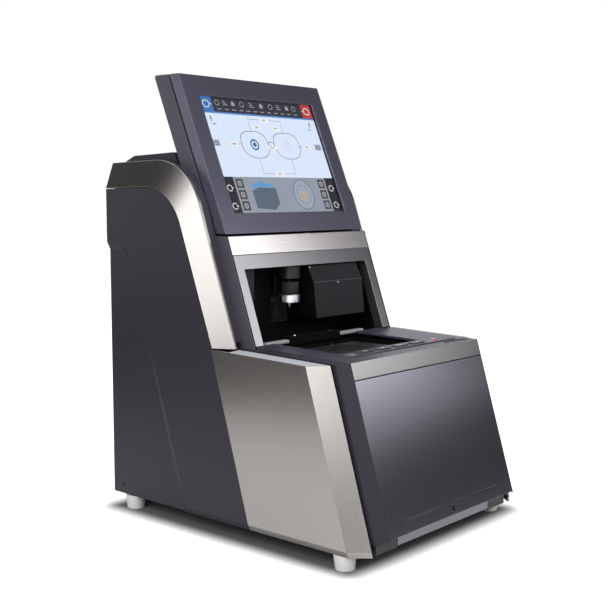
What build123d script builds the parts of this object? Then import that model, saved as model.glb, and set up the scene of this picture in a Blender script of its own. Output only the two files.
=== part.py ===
from build123d import *
import math
import os

# A bench-top lens blocker: a low front case with a sunk lens stage, a tower with a work cavity
# in which a travelling arm lowers a block on to the lens, and a tilting touch display on top.
# X runs to the right, -Y is the front, +Z is up. The origin is the footprint's centre on the floor.
# Outlines are drawn from the side: depth is measured back from the front, height from the floor.

# Overall sizes. Heights below are taken from a level DATUM_HEIGHT above the floor.
SIDE = 161.0
MID_DEPTH = 216.8
REAR_DEPTH = 433.0
DATUM_HEIGHT = 6.1
BOTTOM = 11.2
COVER_FOOT = 11.5
SEAM_GAP = 0.6
SHEET = 3.0

# Front face: it leans back from its foot
FRONT_FOOT_DEPTH = 2.1
FRONT_FOOT_HEIGHT = 30.6
FRONT_TOP_HEIGHT = 217.3
FRONT_LEAN = math.radians(16.6)
FRONT_HALF_WIDTH = 128.0
TRIM_SEAM_HEIGHT = 198.4

# Corner between the front face and the silver side: facet, dark groove, chamfer
FACET_X = 139.5
FACET_SETBACK = 12.0
FACET_RETURN = 30.0
CHAMFER_X = 143.0
CHAMFER_SETBACK = 16.8
SIDE_FLAT_SETBACK = 37.2
SIDE_REAR_SETBACK = 184.3
SIDE_WALL = 2.6
BEVEL_TOP = 18.0
BEVEL_IN = 2.4

# Deck: it falls a little towards the front. The rim and the bright strip lie lower beside it
DECK_FALL = 1.53
DECK_TOP = FRONT_TOP_HEIGHT
DECK_HALF_WIDTH = 128.0
DECK_REAR_DEPTH = 204.3
RIM_INNER_X = DECK_HALF_WIDTH + SEAM_GAP
RIM_DROP = 2.2
RIM_LEDGE_DROP = 6.4
RIM_LEDGE_X = 147.0
RIM_REAR_DEPTH = 194.0
STRIP_INNER_DROP = 3.1
STRIP_SLOPE = 0.0778
STRIP_THICKNESS = 1.8
STRIP_REAR_DEPTH = 213.0
RECESS_LEFT = -92.0
RECESS_RIGHT = 66.0
RECESS_FRONT_DEPTH = 104.0

# Lens stage
TRAY_TOP = 213.5
TRAY_FLOOR = 195.0
TABLE_TOP = 212.5
TABLE_HALF_WIDTH = 51.0
WINDOW_RADIUS = 24.1
REST_PIN_CIRCLE = 28.0
REST_PIN_RADIUS = 1.5
REST_PIN_HEIGHT = 2.5

# Tower face: lintel and jambs round the work cavity, and the bright strip above them
TOWER_FOOT_DEPTH = 197.7
TOWER_FOOT_HEIGHT = 220.5
TOWER_LEAN = math.radians(19.34)
TOWER_HALF_WIDTH = 129.5
TOWER_START_HEIGHT = 221.8
LINTEL_HEIGHT = 310.5
STRIP_FOOT_HEIGHT = 327.8
STRIP_TOP_HEIGHT = 350.0
JAMB_WIDTH = 13.2

# Tower side walls and the hood between them
WALL_OUTER_X = 132.6
WALL_INNER_X = 131.0
WALL_FOOT_HEIGHT = 213.0
WALL_ARCH_INSET = 3.0
WALL_REAR_DEPTH = 429.8
HOOD_HALF_WIDTH = 130.6
HOOD = [(323.8, 426.6), (336.4, 451.5), (412.0, 448.6), (424.0, 443.6), (429.4, 441.4),
        (429.4, 426.6)]
HOOD_INSIDE = [(327.0, 420.0), (338.2, 448.8), (411.4, 446.0), (423.0, 441.2), (427.0, 439.4),
               (427.0, 420.0)]

# Camera box in the cavity, drawn from the side
HOUSING = [(219.5, 242.0), (225.0, 291.5), (235.0, 309.0), (267.8, 309.0), (267.8, 242.0)]
HOUSING_INSIDE = [(221.8, 244.0), (227.2, 291.0), (236.2, 307.0), (270.0, 307.0), (270.0, 244.0)]
CAMERA_X = 54.0
CAMERA_DEPTH = 244.0

# Arch band: its face slopes in from the side to its outer edge, where a lip turns in
BAND_OUTER_X = 149.0
BAND_LIP_X = 144.0
BAND_LIP = 2.4
BAND_FOOT_HEIGHT = 218.9
BAND_OUTER_FOOT_DEPTH = 214.4
BAND_OUTER_CORNER = (292.5, 443.5)
BAND_OUTER_REAR_HEIGHT = 439.6
BAND_OUTER_RADIUS = 79.0
BAND_INNER_FOOT_DEPTH = 241.0
BAND_INNER_CORNER = (311.1, 410.0)
BAND_INNER_REAR_HEIGHT = 407.0
BAND_INNER_RADIUS = 68.0

# Sunk field of the side cover: its step slants in, two across for each one deep
SUNK_FOOT = (273.1, -30.0)
SUNK_CORNER = (390.1, 332.9)
SUNK_REAR = (470.0, 345.1)
SUNK_RADIUS = 27.0
SUNK_STEP = 5.0
SUNK_SLANT = 2.0

# Display: leaning face, level top and bottom
DISPLAY_FOOT_DEPTH = 245.4
DISPLAY_FOOT_HEIGHT = 352.4
DISPLAY_TOP_HEIGHT = 547.0
DISPLAY_LEAN = math.radians(22.7)
DISPLAY_HALF_WIDTH = 130.2
DISPLAY_FRAME_DEPTH = 17.0
DISPLAY_GROOVE = 3.0
DISPLAY_TOTAL_DEPTH = 45.5
SCREEN_HALF_WIDTH = 105.6
SCREEN_FOOT_HEIGHT = 377.0
SCREEN_TOP_HEIGHT = 521.6
TILT_AXIS_DEPTH = 336.4
TILT_AXIS_HEIGHT = 447.0

# Display hinge: lugs on the display's plate, ears on the tower's bracket
LUG_XS = (-62.0, -42.0, 42.0, 62.0)
LUG_WIDTH = 7.0
EAR_XS = (-52.0, 52.0)
EAR_WIDTH = 12.0
PIN_RADIUS = 2.5
PIN_SPANS = ((-66.0, -38.0), (38.0, 66.0))

# Arm: stage centre, travel forwards and down, and the block chuck's own axis
CHUCK_X = -13.0
CHUCK_DEPTH = 251.0
CHUCK_RADIUS = 12.0
ARM_TRAVEL = 99.0
ARM_DROP = 42.0
STAGE_DEPTH = CHUCK_DEPTH - ARM_TRAVEL
RUNNING_CLEARANCE = 0.05
ARM_TOP = 309.6
SPINDLE_RADIUS = 3.0

# Travel rods and screw, lift guides and the frames that hold them
RAIL_HEIGHT = 332.0
RAIL_XS = (-66.0, 40.0)
RAIL_RADIUS = 5.0
SCREW_X = 58.0
SCREW_RADIUS = 4.0
RAIL_FRAME_DEPTHS = (275.4, 407.0)
CARRIAGE_DEPTHS = (376.0, 406.0)
LIFT_XS = (CHUCK_X - 26, CHUCK_X + 26)
LIFT_DEPTH = 389.0
LIFT_RADIUS = 4.0
LIFT_SCREW_RADIUS = 3.0

# Drawer at the foot of the front panel
DRAWER_HALF_WIDTH = 93.5
DRAWER_TOP_HEIGHT = 43.6
DRAWER_LENGTH = 170.0
TRAY_WALL = 1.4
CATCH_HEIGHT = 37.0
CATCH_RADIUS = 3.0

# Base plate and feet
PLATE_TOP = BOTTOM + 2.5
FOOT_X = 147.0
FOOT_FRONT_DEPTH = 48.7
FOOT_REAR_DEPTH = 399.8
FOOT_SIDES = 24

# Keys and lamp on the deck's front strip
KEY_COUNT = 4
KEY_PITCH = 34.0
KEY_FIRST_X = -64.0
KEY_LENGTH = 24.0
KEY_WIDTH = 9.0
KEY_DEPTH = 88.0
LAMP_X = 78.0
LAMP_RADIUS = 2.8

# Back: mains inlet with its rocker, and the data sockets
INLET_X = 92.0
SWITCH_X = 62.0
ROCKER_DEPTH = 431.6
ROCKER_HEIGHT = 64.0
SOCKET_XS = (-106.0, -84.0, -62.0)
SOCKET_WIDTH = 14.0
SOCKET_HEIGHT = 48.0


def front_depth(height):
    return FRONT_FOOT_DEPTH + (height - FRONT_FOOT_HEIGHT) * math.tan(FRONT_LEAN)


def tower_depth(height):
    return TOWER_FOOT_DEPTH + (height - TOWER_FOOT_HEIGHT) * math.tan(TOWER_LEAN)


def display_depth(height):
    return DISPLAY_FOOT_DEPTH + (height - DISPLAY_FOOT_HEIGHT) * math.tan(DISPLAY_LEAN)


def yz(point):
    return (point[0] - MID_DEPTH, point[1])


def block(x0, x1, d0, d1, z0, z1):
    """A box between two widths, two depths and two heights."""
    centre = Pos((x0 + x1) / 2, (d0 + d1) / 2 - MID_DEPTH, (z0 + z1) / 2)
    return centre * Box(x1 - x0, d1 - d0, z1 - z0)


def outline_face(points):
    return make_face(Polyline(*[yz(p) for p in points], close=True))


def profile(points, x0, x1):
    """A side outline, given as depth and height, carried across the width."""
    return extrude(Plane.YZ.offset(x0) * outline_face(points), amount=x1 - x0)


def plan_prism(points, z0, z1):
    """A plan outline, given as width and depth, carried up."""
    flat = [(x, d - MID_DEPTH) for x, d in points]
    return extrude(Plane.XY.offset(z0) * make_face(Polyline(*flat, close=True)), amount=z1 - z0)


def leaning_loft(face_depth, sections):
    """Plan outlines of widths and setbacks behind a leaning face, joined between their heights."""
    faces = []
    for plan, height in sections:
        points = [(x, setback + face_depth(height) - MID_DEPTH) for x, setback in plan]
        faces.append(Plane.XY.offset(height) * make_face(Polyline(*points, close=True)))
    return loft(faces, ruled=True)


def leaning_column(face_depth, plan, z0, z1):
    return leaning_loft(face_depth, [(plan, z0), (plan, z1)])


def leaning_plate(face_depth, x0, x1, s0, s1, z0, z1):
    return leaning_column(face_depth, [(x0, s0), (x1, s0), (x1, s1), (x0, s1)], z0, z1)


def rod_along_y(x, z, radius, d0, d1):
    return Pos(x, (d0 + d1) / 2 - MID_DEPTH, z) * Rot(90, 0, 0) * Cylinder(radius, d1 - d0)


def rod_along_z(x, d, radius, z0, z1):
    return Pos(x, d - MID_DEPTH, (z0 + z1) / 2) * Cylinder(radius, z1 - z0)


def rod_along_x(d, z, radius, x0, x1):
    return Pos((x0 + x1) / 2, d - MID_DEPTH, z) * Rot(0, 90, 0) * Cylinder(radius, x1 - x0)


def octagon(d, z, radius):
    """Corners of an eight-sided outline whose flats lie at a radius from its centre."""
    reach = radius / math.cos(math.pi / 8)
    turns = [math.pi / 8 + math.pi / 4 * step for step in range(8)]
    return [(d + reach * math.cos(t), z + reach * math.sin(t)) for t in turns]


def on_deck(part):
    """Lean a piece drawn level at the deck's front edge to the deck's own fall."""
    y = front_depth(DECK_TOP) - MID_DEPTH
    return Pos(0, y, DECK_TOP) * Rot(DECK_FALL, 0, 0) * Pos(0, -y, -DECK_TOP) * part


def along_deck(points, d0, d1):
    """A cross-section of widths and drops below the deck, carried back along the deck."""
    face = make_face(Polyline(*[(x, DECK_TOP - drop) for x, drop in points], close=True))
    y0 = d0 - MID_DEPTH
    return on_deck(Pos(0, y0, 0) * extrude(Plane.XZ * face, amount=-(d1 - d0)))


def mirrored(part):
    return mirror(part, about=Plane.YZ)


def write(name, part):
    solids = part.solids() if hasattr(part, "solids") else part
    solids = [Pos(0, 0, DATUM_HEIGHT) * solid for solid in solids]
    shape = solids[0] if len(solids) == 1 else Compound(children=solids)
    shape.label = name
    export_step(shape, "parts/" + name + ".step")


# Arch outlines, shared by the band, the side cover and the tower shell

def arch_face(corner, foot_depth, rear_height, radius, inset=0.0, foot=BAND_FOOT_HEIGHT):
    points = [(foot_depth, foot), corner, (REAR_DEPTH, rear_height), (REAR_DEPTH, foot)]
    face = outline_face(points)
    vertex = face.vertices().sort_by_distance((*yz(corner), 0))[0]
    face = fillet(vertex, radius)
    if inset:
        face = offset(face, amount=-inset, kind=Kind.INTERSECTION)
    return face


def outer_arch(inset=0.0):
    return arch_face(BAND_OUTER_CORNER, BAND_OUTER_FOOT_DEPTH, BAND_OUTER_REAR_HEIGHT,
                     BAND_OUTER_RADIUS, inset)


def inner_arch(inset=0.0):
    return arch_face(BAND_INNER_CORNER, BAND_INNER_FOOT_DEPTH, BAND_INNER_REAR_HEIGHT,
                     BAND_INNER_RADIUS, inset)


def prism(face, x0, x1):
    return extrude(Plane.YZ.offset(x0) * face, amount=x1 - x0)


def arch_band():
    """Silver band on the left, sloping in to its outer edge, with a lip turned in behind it."""
    slope = loft([Plane.YZ.offset(-SIDE) * inner_arch(),
                  Plane.YZ.offset(-BAND_OUTER_X) * outer_arch()], ruled=True)
    lip = prism(outer_arch(), -BAND_OUTER_X, -BAND_LIP_X)
    lip -= prism(outer_arch(BAND_LIP), -BAND_OUTER_X, -BAND_LIP_X + 1)
    hole = prism(inner_arch(), -SIDE - 1, -BAND_LIP_X + 1)
    return slope + lip - hole


# Case and feet

def base_plate():
    """Zinc floor plate with side flanges, a front skirt and three louvre fields."""
    plan = [(-139, 24.2), (-152, 40), (-152, 426), (152, 426), (152, 40), (139, 24.2)]
    plate = plan_prism(plan, BOTTOM, PLATE_TOP)
    for x0 in (-152, 149.5):
        plate += block(x0, x0 + 2.5, 70, 426, BOTTOM, BOTTOM + 14)
    plate += block(-FRONT_HALF_WIDTH, FRONT_HALF_WIDTH, 20.5, 24.2, BOTTOM, 21)
    for x in (-60, 0, 60):
        for row in range(5):
            d0 = 230 + 22 * row
            plate -= block(x - 18, x + 18, d0, d0 + 6, BOTTOM - 1, PLATE_TOP + 1)
    return plate


def rubber_feet():
    feet = []
    for x in (-FOOT_X, FOOT_X):
        for d in (FOOT_FRONT_DEPTH, FOOT_REAR_DEPTH):
            place = Pos(x, d - MID_DEPTH, 0)
            low = place * Plane.XY.offset(-DATUM_HEIGHT) * RegularPolygon(11, FOOT_SIDES)
            high = place * Plane.XY.offset(BOTTOM) * RegularPolygon(13, FOOT_SIDES)
            feet.append(loft([low, high], ruled=True).solids()[0])
    return feet


def sunk_field(inset=0.0):
    """The lower rear field of the side cover, drawn on past its foot and its rear edge."""
    points = [SUNK_FOOT, SUNK_CORNER, SUNK_REAR, (SUNK_REAR[0], SUNK_FOOT[1])]
    face = outline_face(points)
    vertex = face.vertices().sort_by_distance((*yz(SUNK_CORNER), 0))[0]
    face = fillet(vertex, SUNK_RADIUS)
    if inset:
        face = offset(face, amount=-inset, kind=Kind.INTERSECTION)
    return face


def sunk_form(x0, x1, inset):
    """The sunk field's form between two widths, drawn in along the step's slant."""
    deeper = inset + SUNK_SLANT * (x1 - x0)
    return loft([Plane.YZ.offset(x0) * sunk_field(inset), Plane.YZ.offset(x1) * sunk_field(deeper)],
                ruled=True)


def side_cover():
    """Black left cover inside the arch, joggled in round its sunk field."""
    foot_front = front_depth(COVER_FOOT) + SIDE_REAR_SETBACK + SEAM_GAP
    top_front = front_depth(BAND_FOOT_HEIGHT) + SIDE_REAR_SETBACK + SEAM_GAP
    rear = REAR_DEPTH - SEAM_GAP
    lower = outline_face([(foot_front, COVER_FOOT), (top_front, BAND_FOOT_HEIGHT + 1),
                          (rear, BAND_FOOT_HEIGHT + 1), (rear, COVER_FOOT)])
    whole = prism(lower, -SIDE, -SIDE + 8) + prism(inner_arch(SEAM_GAP), -SIDE, -SIDE + 8)
    skin = block(-SIDE, -SIDE + SHEET, 150, 450, 0, 450)
    boss = sunk_form(-SIDE + SHEET, -SIDE + 8, -2.0)
    cover = whole & (skin + boss)
    cover -= sunk_form(-SIDE - 1, -SIDE + SUNK_STEP, -2.0)
    bevel = Plane.XZ * make_face(Polyline((-SIDE - 1, BEVEL_TOP), (-SIDE, BEVEL_TOP),
                                          (-SIDE + BEVEL_IN, COVER_FOOT), (-SIDE + BEVEL_IN, 5),
                                          (-SIDE - 1, 5), close=True))
    return cover - extrude(bevel, amount=400, both=True)


def strip_drop(x):
    """How far the bright strip lies below the deck at a distance out from the middle."""
    return STRIP_INNER_DROP + (x - CHAMFER_X) * STRIP_SLOPE


def strip_section(x0, x1):
    """Cross-section of the left strip between two distances out from the middle."""
    return [(-x1, strip_drop(x1)), (-x0, strip_drop(x0)), (-x0, strip_drop(x0) + STRIP_THICKNESS),
            (-x1, strip_drop(x1) + STRIP_THICKNESS)]


def front_side_panel():
    """Silver lower left panel: flat side, chamfer, turned foot and the bright strip on top."""
    wall = SIDE_WALL
    plan = [(-SIDE, SIDE_REAR_SETBACK), (-SIDE, SIDE_FLAT_SETBACK), (-CHAMFER_X, CHAMFER_SETBACK),
            (-CHAMFER_X + 1.8, CHAMFER_SETBACK + 1.7), (-SIDE + wall, SIDE_FLAT_SETBACK + 1.0),
            (-SIDE + wall, SIDE_REAR_SETBACK)]
    turn = BEVEL_IN
    turned = [(-SIDE + turn, SIDE_REAR_SETBACK), (-SIDE + turn, SIDE_FLAT_SETBACK + 0.9),
              (-CHAMFER_X + 1.8, CHAMFER_SETBACK + 1.6), (-CHAMFER_X + 2.6, CHAMFER_SETBACK + 4.6),
              (-SIDE + turn + wall, SIDE_FLAT_SETBACK + 1.9), (-SIDE + turn + wall, SIDE_REAR_SETBACK)]
    panel = leaning_column(front_depth, plan, BEVEL_TOP, 226)
    panel += leaning_loft(front_depth, [(turned, COVER_FOOT), (plan, BEVEL_TOP)])
    above = [(-SIDE - 1, strip_drop(SIDE + 1)), (-120, strip_drop(120)), (-120, -30), (-SIDE - 1, -30)]
    panel -= along_deck(above, 0, 300)
    reach = [(-SIDE, 260), (-SIDE, SIDE_FLAT_SETBACK), (-CHAMFER_X, CHAMFER_SETBACK),
             (-CHAMFER_X, 260)]
    strip = along_deck(strip_section(CHAMFER_X, SIDE), 40, STRIP_REAR_DEPTH)
    panel += strip & leaning_column(front_depth, reach, 190, 240)
    panel += along_deck(strip_section(WALL_OUTER_X + SEAM_GAP, CHAMFER_X + 1), 196.5, 215)
    return panel


def corner_post():
    """Black left corner facet, with the bevelled rim that runs back beside the deck."""
    inner, outer = -FRONT_HALF_WIDTH, -FACET_X
    plan = [(inner, 0), (outer, FACET_SETBACK), (outer, FACET_RETURN), (outer + 2, FACET_RETURN),
            (outer + 2, FACET_SETBACK + 2), (inner, 3)]
    post = leaning_column(front_depth, plan, BOTTOM + 2.8, DECK_TOP - RIM_DROP - 0.2)
    section = [(-RIM_INNER_X, 0), (outer, RIM_DROP), (outer, RIM_LEDGE_DROP),
               (-RIM_LEDGE_X, RIM_LEDGE_DROP), (-RIM_LEDGE_X, RIM_LEDGE_DROP + 2),
               (-RIM_INNER_X, RIM_LEDGE_DROP + 2)]
    rim = along_deck(section, 40, RIM_REAR_DEPTH)
    behind = [(inner, 0), (outer, FACET_SETBACK), (outer, 22), (-RIM_LEDGE_X, 29),
              (-RIM_LEDGE_X, 260), (inner, 260)]
    return post + (rim & leaning_column(front_depth, behind, 190, 240))


def front_panel():
    """Dark front cover with return flanges and the drawer's notch at its foot."""
    half = FRONT_HALF_WIDTH - SEAM_GAP
    panel = leaning_plate(front_depth, -half, half, 0, SHEET, FRONT_FOOT_HEIGHT,
                          TRIM_SEAM_HEIGHT - 0.8)
    for x0 in (-half, half - 2.4):
        panel += leaning_plate(front_depth, x0, x0 + 2.4, SHEET, 20, FRONT_FOOT_HEIGHT,
                               TRIM_SEAM_HEIGHT - 0.8)
    notch = DRAWER_HALF_WIDTH + 0.7
    return panel - block(-notch, notch, -10, 60, 0, DRAWER_TOP_HEIGHT + 0.7)


def front_top_trim():
    half = FRONT_HALF_WIDTH - SEAM_GAP
    trim = leaning_plate(front_depth, -half, half, 0, SHEET, TRIM_SEAM_HEIGHT, DECK_TOP)
    trim += leaning_plate(front_depth, -half, half, SHEET, 12, TRIM_SEAM_HEIGHT,
                          TRIM_SEAM_HEIGHT + 2)
    return trim


# Deck, keys and lens stage

def key_x(index):
    return KEY_FIRST_X + KEY_PITCH * index


def key_well(index, gap, z0, z1):
    x = key_x(index)
    return block(x - KEY_LENGTH / 2 - gap, x + KEY_LENGTH / 2 + gap,
                 KEY_DEPTH - KEY_WIDTH / 2 - gap, KEY_DEPTH + KEY_WIDTH / 2 + gap, z0, z1)


def deck_plate():
    """Deck with the lens recess, the key strip's seat, key wells and a finger scoop."""
    front = front_depth(DECK_TOP) + SHEET + 0.4
    plate = block(-DECK_HALF_WIDTH, DECK_HALF_WIDTH, front, DECK_REAR_DEPTH, DECK_TOP - SHEET,
                  DECK_TOP)
    plate -= block(RECESS_LEFT, RECESS_RIGHT, RECESS_FRONT_DEPTH, 230, DECK_TOP - 10, DECK_TOP + 5)
    plate -= block(-103.4, 110.4, 77.6, 98.4, DECK_TOP - 1.6, DECK_TOP + 5)
    for index in range(KEY_COUNT):
        plate -= key_well(index, 0.4, DECK_TOP - 10, DECK_TOP)
    scoop = plan_prism([(66, 63.5), (118, 63.5), (118, 74), (76, 74)], DECK_TOP - 1.2, DECK_TOP + 4)
    return on_deck(plate - scoop)


def key_panel():
    """Raised strip that frames the keys and the lamp."""
    strip = block(-103, 110, 78, 98, DECK_TOP - 1.5, DECK_TOP + 1.2)
    corners = strip.edges().filter_by(Axis.Z)
    strip = chamfer(corners, 2.0)
    strip = chamfer(strip.faces().sort_by(Axis.Z)[-1].edges(), 0.5)
    for index in range(KEY_COUNT):
        strip -= key_well(index, 0.35, DECK_TOP - 5, DECK_TOP + 5)
    strip -= rod_along_z(LAMP_X, KEY_DEPTH + 3, LAMP_RADIUS + 0.1, DECK_TOP - 5, DECK_TOP + 5)
    return on_deck(strip)


def status_lamp():
    return on_deck(rod_along_z(LAMP_X, KEY_DEPTH + 3, LAMP_RADIUS, DECK_TOP - 1.5, DECK_TOP + 1.9))


def key(index):
    x = key_x(index)
    cap = block(x - KEY_LENGTH / 2, x + KEY_LENGTH / 2, KEY_DEPTH - KEY_WIDTH / 2,
                KEY_DEPTH + KEY_WIDTH / 2, DECK_TOP - 3.2, DECK_TOP + 2.6)
    cap = chamfer(cap.edges().filter_by(Axis.Z), 1.2)
    cap = chamfer(cap.faces().sort_by(Axis.Z)[-1].edges(), 0.6)
    return on_deck(cap)


def stage_tray():
    outer = block(RECESS_LEFT - 2.5, RECESS_RIGHT + 2.5, RECESS_FRONT_DEPTH - 2.5,
                  DECK_REAR_DEPTH, TRAY_FLOOR, TRAY_TOP)
    inner = block(RECESS_LEFT, RECESS_RIGHT, RECESS_FRONT_DEPTH, DECK_REAR_DEPTH - 2, TRAY_FLOOR + 2,
                  TRAY_TOP + 5)
    return outer - inner


def stage_table():
    """Lens table on four legs, with the window's seat and a sensor slot."""
    top = block(CHUCK_X - TABLE_HALF_WIDTH, CHUCK_X + TABLE_HALF_WIDTH, 108, 186, TABLE_TOP - 3,
                TABLE_TOP)
    top = chamfer(top.edges().filter_by(Axis.Z), 3.0)
    for x in (CHUCK_X - 44, CHUCK_X + 38):
        for d in (114, 174):
            top += block(x, x + 6, d, d + 6, TRAY_FLOOR + 2, TABLE_TOP - 3)
    top -= rod_along_z(CHUCK_X, STAGE_DEPTH, WINDOW_RADIUS + 0.1, TABLE_TOP - 1.6, TABLE_TOP + 1)
    top -= block(CHUCK_X - 15, CHUCK_X + 15, STAGE_DEPTH - 15, STAGE_DEPTH + 15, TABLE_TOP - 5,
                 TABLE_TOP + 1)
    return top - block(CHUCK_X - 48, CHUCK_X - 27, 149, 153.5, TABLE_TOP - 5, TABLE_TOP + 1)


def stage_window():
    return rod_along_z(CHUCK_X, STAGE_DEPTH, WINDOW_RADIUS, TABLE_TOP - 1.5, TABLE_TOP)


def lens_rest_pins():
    """Three low black pins on the window, which the lens lies on."""
    pins = []
    for angle in (90, 210, 330):
        a = math.radians(angle)
        x = CHUCK_X + REST_PIN_CIRCLE * math.cos(a)
        d = STAGE_DEPTH + REST_PIN_CIRCLE * math.sin(a)
        face = Pos(x, d - MID_DEPTH, TABLE_TOP) * RegularPolygon(REST_PIN_RADIUS, 8)
        pins.append(extrude(face, amount=REST_PIN_HEIGHT).solids()[0])
    return pins


def cross_rails():
    rails = []
    for x0, x1 in ((-116, -46.2), (46.2, 116)):
        rail = block(x0, x1, 204.8, 213, 218.5, 223)
        edge = rail.edges().filter_by(Axis.X).sort_by(lambda e: e.center().Z - e.center().Y)[-1]
        rails.append(fillet(edge, 1.5).solids()[0])
    return rails


def cross_block():
    body = block(-46, 46, 204.8, 217, 216, 226)
    return chamfer(body.faces().sort_by(Axis.Z)[-1].edges(), 0.8)


# Tower

def tower_frame():
    """Lintel and two jambs round the cavity, with returns that turn back into it."""
    inner = TOWER_HALF_WIDTH - JAMB_WIDTH
    frame = leaning_plate(tower_depth, -TOWER_HALF_WIDTH, TOWER_HALF_WIDTH, 0, SHEET,
                          TOWER_START_HEIGHT, STRIP_FOOT_HEIGHT - 0.5)
    frame -= leaning_plate(tower_depth, -inner, inner, -5, 10, TOWER_START_HEIGHT - 5,
                           LINTEL_HEIGHT)
    for x0 in (-inner - 2, inner):
        frame += leaning_plate(tower_depth, x0, x0 + 2, SHEET, 14, TOWER_START_HEIGHT,
                               LINTEL_HEIGHT + 2)
    frame += leaning_plate(tower_depth, -inner - 2, inner + 2, SHEET, 14, LINTEL_HEIGHT,
                           LINTEL_HEIGHT + 2)
    return frame


def trim_strip():
    strip = leaning_plate(tower_depth, -130.2, 130.2, -0.6, SHEET, STRIP_FOOT_HEIGHT,
                          STRIP_TOP_HEIGHT)
    strip += leaning_plate(tower_depth, -130.2, 130.2, SHEET, 9, STRIP_TOP_HEIGHT - 2,
                           STRIP_TOP_HEIGHT)
    return strip


def tower_shell():
    """Black moulding: two side walls, a strip that closes each arch, and the neck between them."""
    stub = [(tower_depth(WALL_FOOT_HEIGHT) + 0.3, WALL_FOOT_HEIGHT),
            (tower_depth(STRIP_TOP_HEIGHT) + 0.3, STRIP_TOP_HEIGHT), (300, STRIP_TOP_HEIGHT),
            (300, WALL_FOOT_HEIGHT)]
    wall = prism(outer_arch(WALL_ARCH_INSET), -WALL_OUTER_X, -WALL_INNER_X)
    wall += profile(stub, -WALL_OUTER_X, -WALL_INNER_X)
    wall &= block(-140, -130, 180, WALL_REAR_DEPTH, WALL_FOOT_HEIGHT, 460)
    closing = prism(outer_arch(WALL_ARCH_INSET), -BAND_LIP_X + SEAM_GAP, -WALL_INNER_X)
    closing -= prism(outer_arch(WALL_ARCH_INSET + 3), -BAND_LIP_X, -WALL_INNER_X + 1)
    closing -= block(-BAND_LIP_X, -WALL_INNER_X + 1, 426, 440, 200, 460)
    closing -= block(-BAND_LIP_X, -WALL_INNER_X + 1, 190, 440, 200, 226)
    side = wall + closing
    neck = profile([(252.6, 347.2), (252.6, 350.0), (293.6, 350.0), (323.6, 426.0), (326.8, 426.0),
                    (295.9, 347.2)], -WALL_INNER_X - 0.5, WALL_INNER_X + 0.5)
    return side + mirrored(side) + neck


def cavity_liner():
    """Thin box behind the tower frame: floor, ceiling, sides, a bulkhead and a slotted back."""
    front_low = tower_depth(227) + 14.4
    outline = [(front_low + 4, 204), (front_low + 4, 227), (tower_depth(314.5) + 14.4, 314.5),
               (270, 314.5), (270, 204)]
    hollow = [(200, 206), (200, 312.8), (268, 312.8), (268, 206)]
    liner = profile(outline, -120, 120) - profile(hollow, -118.4, 118.4)
    liner += block(-118.4, -84, 245.5, 247.5, 206, 312.8)
    liner += block(-86, -84, 247.5, 268, 206, 312.8)
    liner -= block(CHUCK_X - 17, CHUCK_X + 17, 266, 272, 236, 312.8)
    return liner


def camera_housing():
    """Camera box at the cavity's right: raked face, sloping brow, open back, lens hole below."""
    shell = profile(HOUSING, 4.5, 103) - profile(HOUSING_INSIDE, 6.5, 101)
    return shell - rod_along_z(CAMERA_X, CAMERA_DEPTH, 9.0, 240, 246)


def camera_unit():
    body = block(CAMERA_X - 20, CAMERA_X + 20, 232, 264, 262, 296)
    barrel = rod_along_z(CAMERA_X, CAMERA_DEPTH, 8.0, 245, 262)
    return chamfer(body.edges().filter_by(Axis.Z), 2.0) + barrel


def top_cover():
    """Raised hood between the side walls, notched for the display's hinge."""
    hood = profile(HOOD, -HOOD_HALF_WIDTH, HOOD_HALF_WIDTH)
    hood -= profile(HOOD_INSIDE, -HOOD_HALF_WIDTH + 2.6, HOOD_HALF_WIDTH - 2.6)
    ridge = hood.edges().filter_by(Axis.X).sort_by(Axis.Z)[-1]
    hood = fillet(ridge, 2.0)
    return hood - block(-72, 72, 300, 350, 420, 460)


def rear_cover():
    """Back plate with two louvre fields and openings for the inlet and the sockets."""
    front = REAR_DEPTH - 2.8
    plate = block(-152.4, 152.4, front, REAR_DEPTH, PLATE_TOP + 0.3, 406)
    plate += block(-157.4, 157.4, front, REAR_DEPTH, 350, 406)
    crown = block(-143.3, 143.3, front, REAR_DEPTH, 400, 437)
    plate += fillet(crown.edges().filter_by(Axis.Y).group_by(Axis.Z)[-1], 18.0)
    before, after = front - 5, REAR_DEPTH + 5
    for row in range(9):
        for x0 in (-120, 30):
            plate -= block(x0, x0 + 90, before, after, 230 + 12 * row, 234 + 12 * row)
    plate -= block(INLET_X - 14.6, INLET_X + 14.6, before, after, 52.8, 75.2)
    plate -= block(SWITCH_X - 7.2, SWITCH_X + 7.2, before, after, 53.3, 74.7)
    for x0 in SOCKET_XS:
        plate -= block(x0 - 0.4, x0 + SOCKET_WIDTH + 0.4, before, after, SOCKET_HEIGHT - 0.4,
                       SOCKET_HEIGHT + 12.4)
    return plate


def power_inlet():
    """Mains inlet module: flat pins in a keyed recess, and the frame of the power switch."""
    module = block(INLET_X - 14.4, INLET_X + 14.4, REAR_DEPTH - 19, REAR_DEPTH, 53, 75)
    module += block(SWITCH_X - 7, SWITCH_X + 7, REAR_DEPTH - 13, REAR_DEPTH, 53.5, 74.5)
    module += block(SWITCH_X - 9, INLET_X + 17, REAR_DEPTH, REAR_DEPTH + 3.4, 50.5, 77.5)
    module -= block(INLET_X - 11.5, INLET_X + 11.5, REAR_DEPTH - 15, REAR_DEPTH + 5, 56, 72)
    module -= block(SWITCH_X - 5.6, SWITCH_X + 5.6, REAR_DEPTH - 10, REAR_DEPTH + 5, 54.9, 73.1)
    for x, z in ((INLET_X - 7, 62), (INLET_X + 7, 62), (INLET_X, 66.5)):
        module += block(x - 1, x + 1, REAR_DEPTH - 16, REAR_DEPTH - 1, z - 2, z + 2)
    return module


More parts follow.
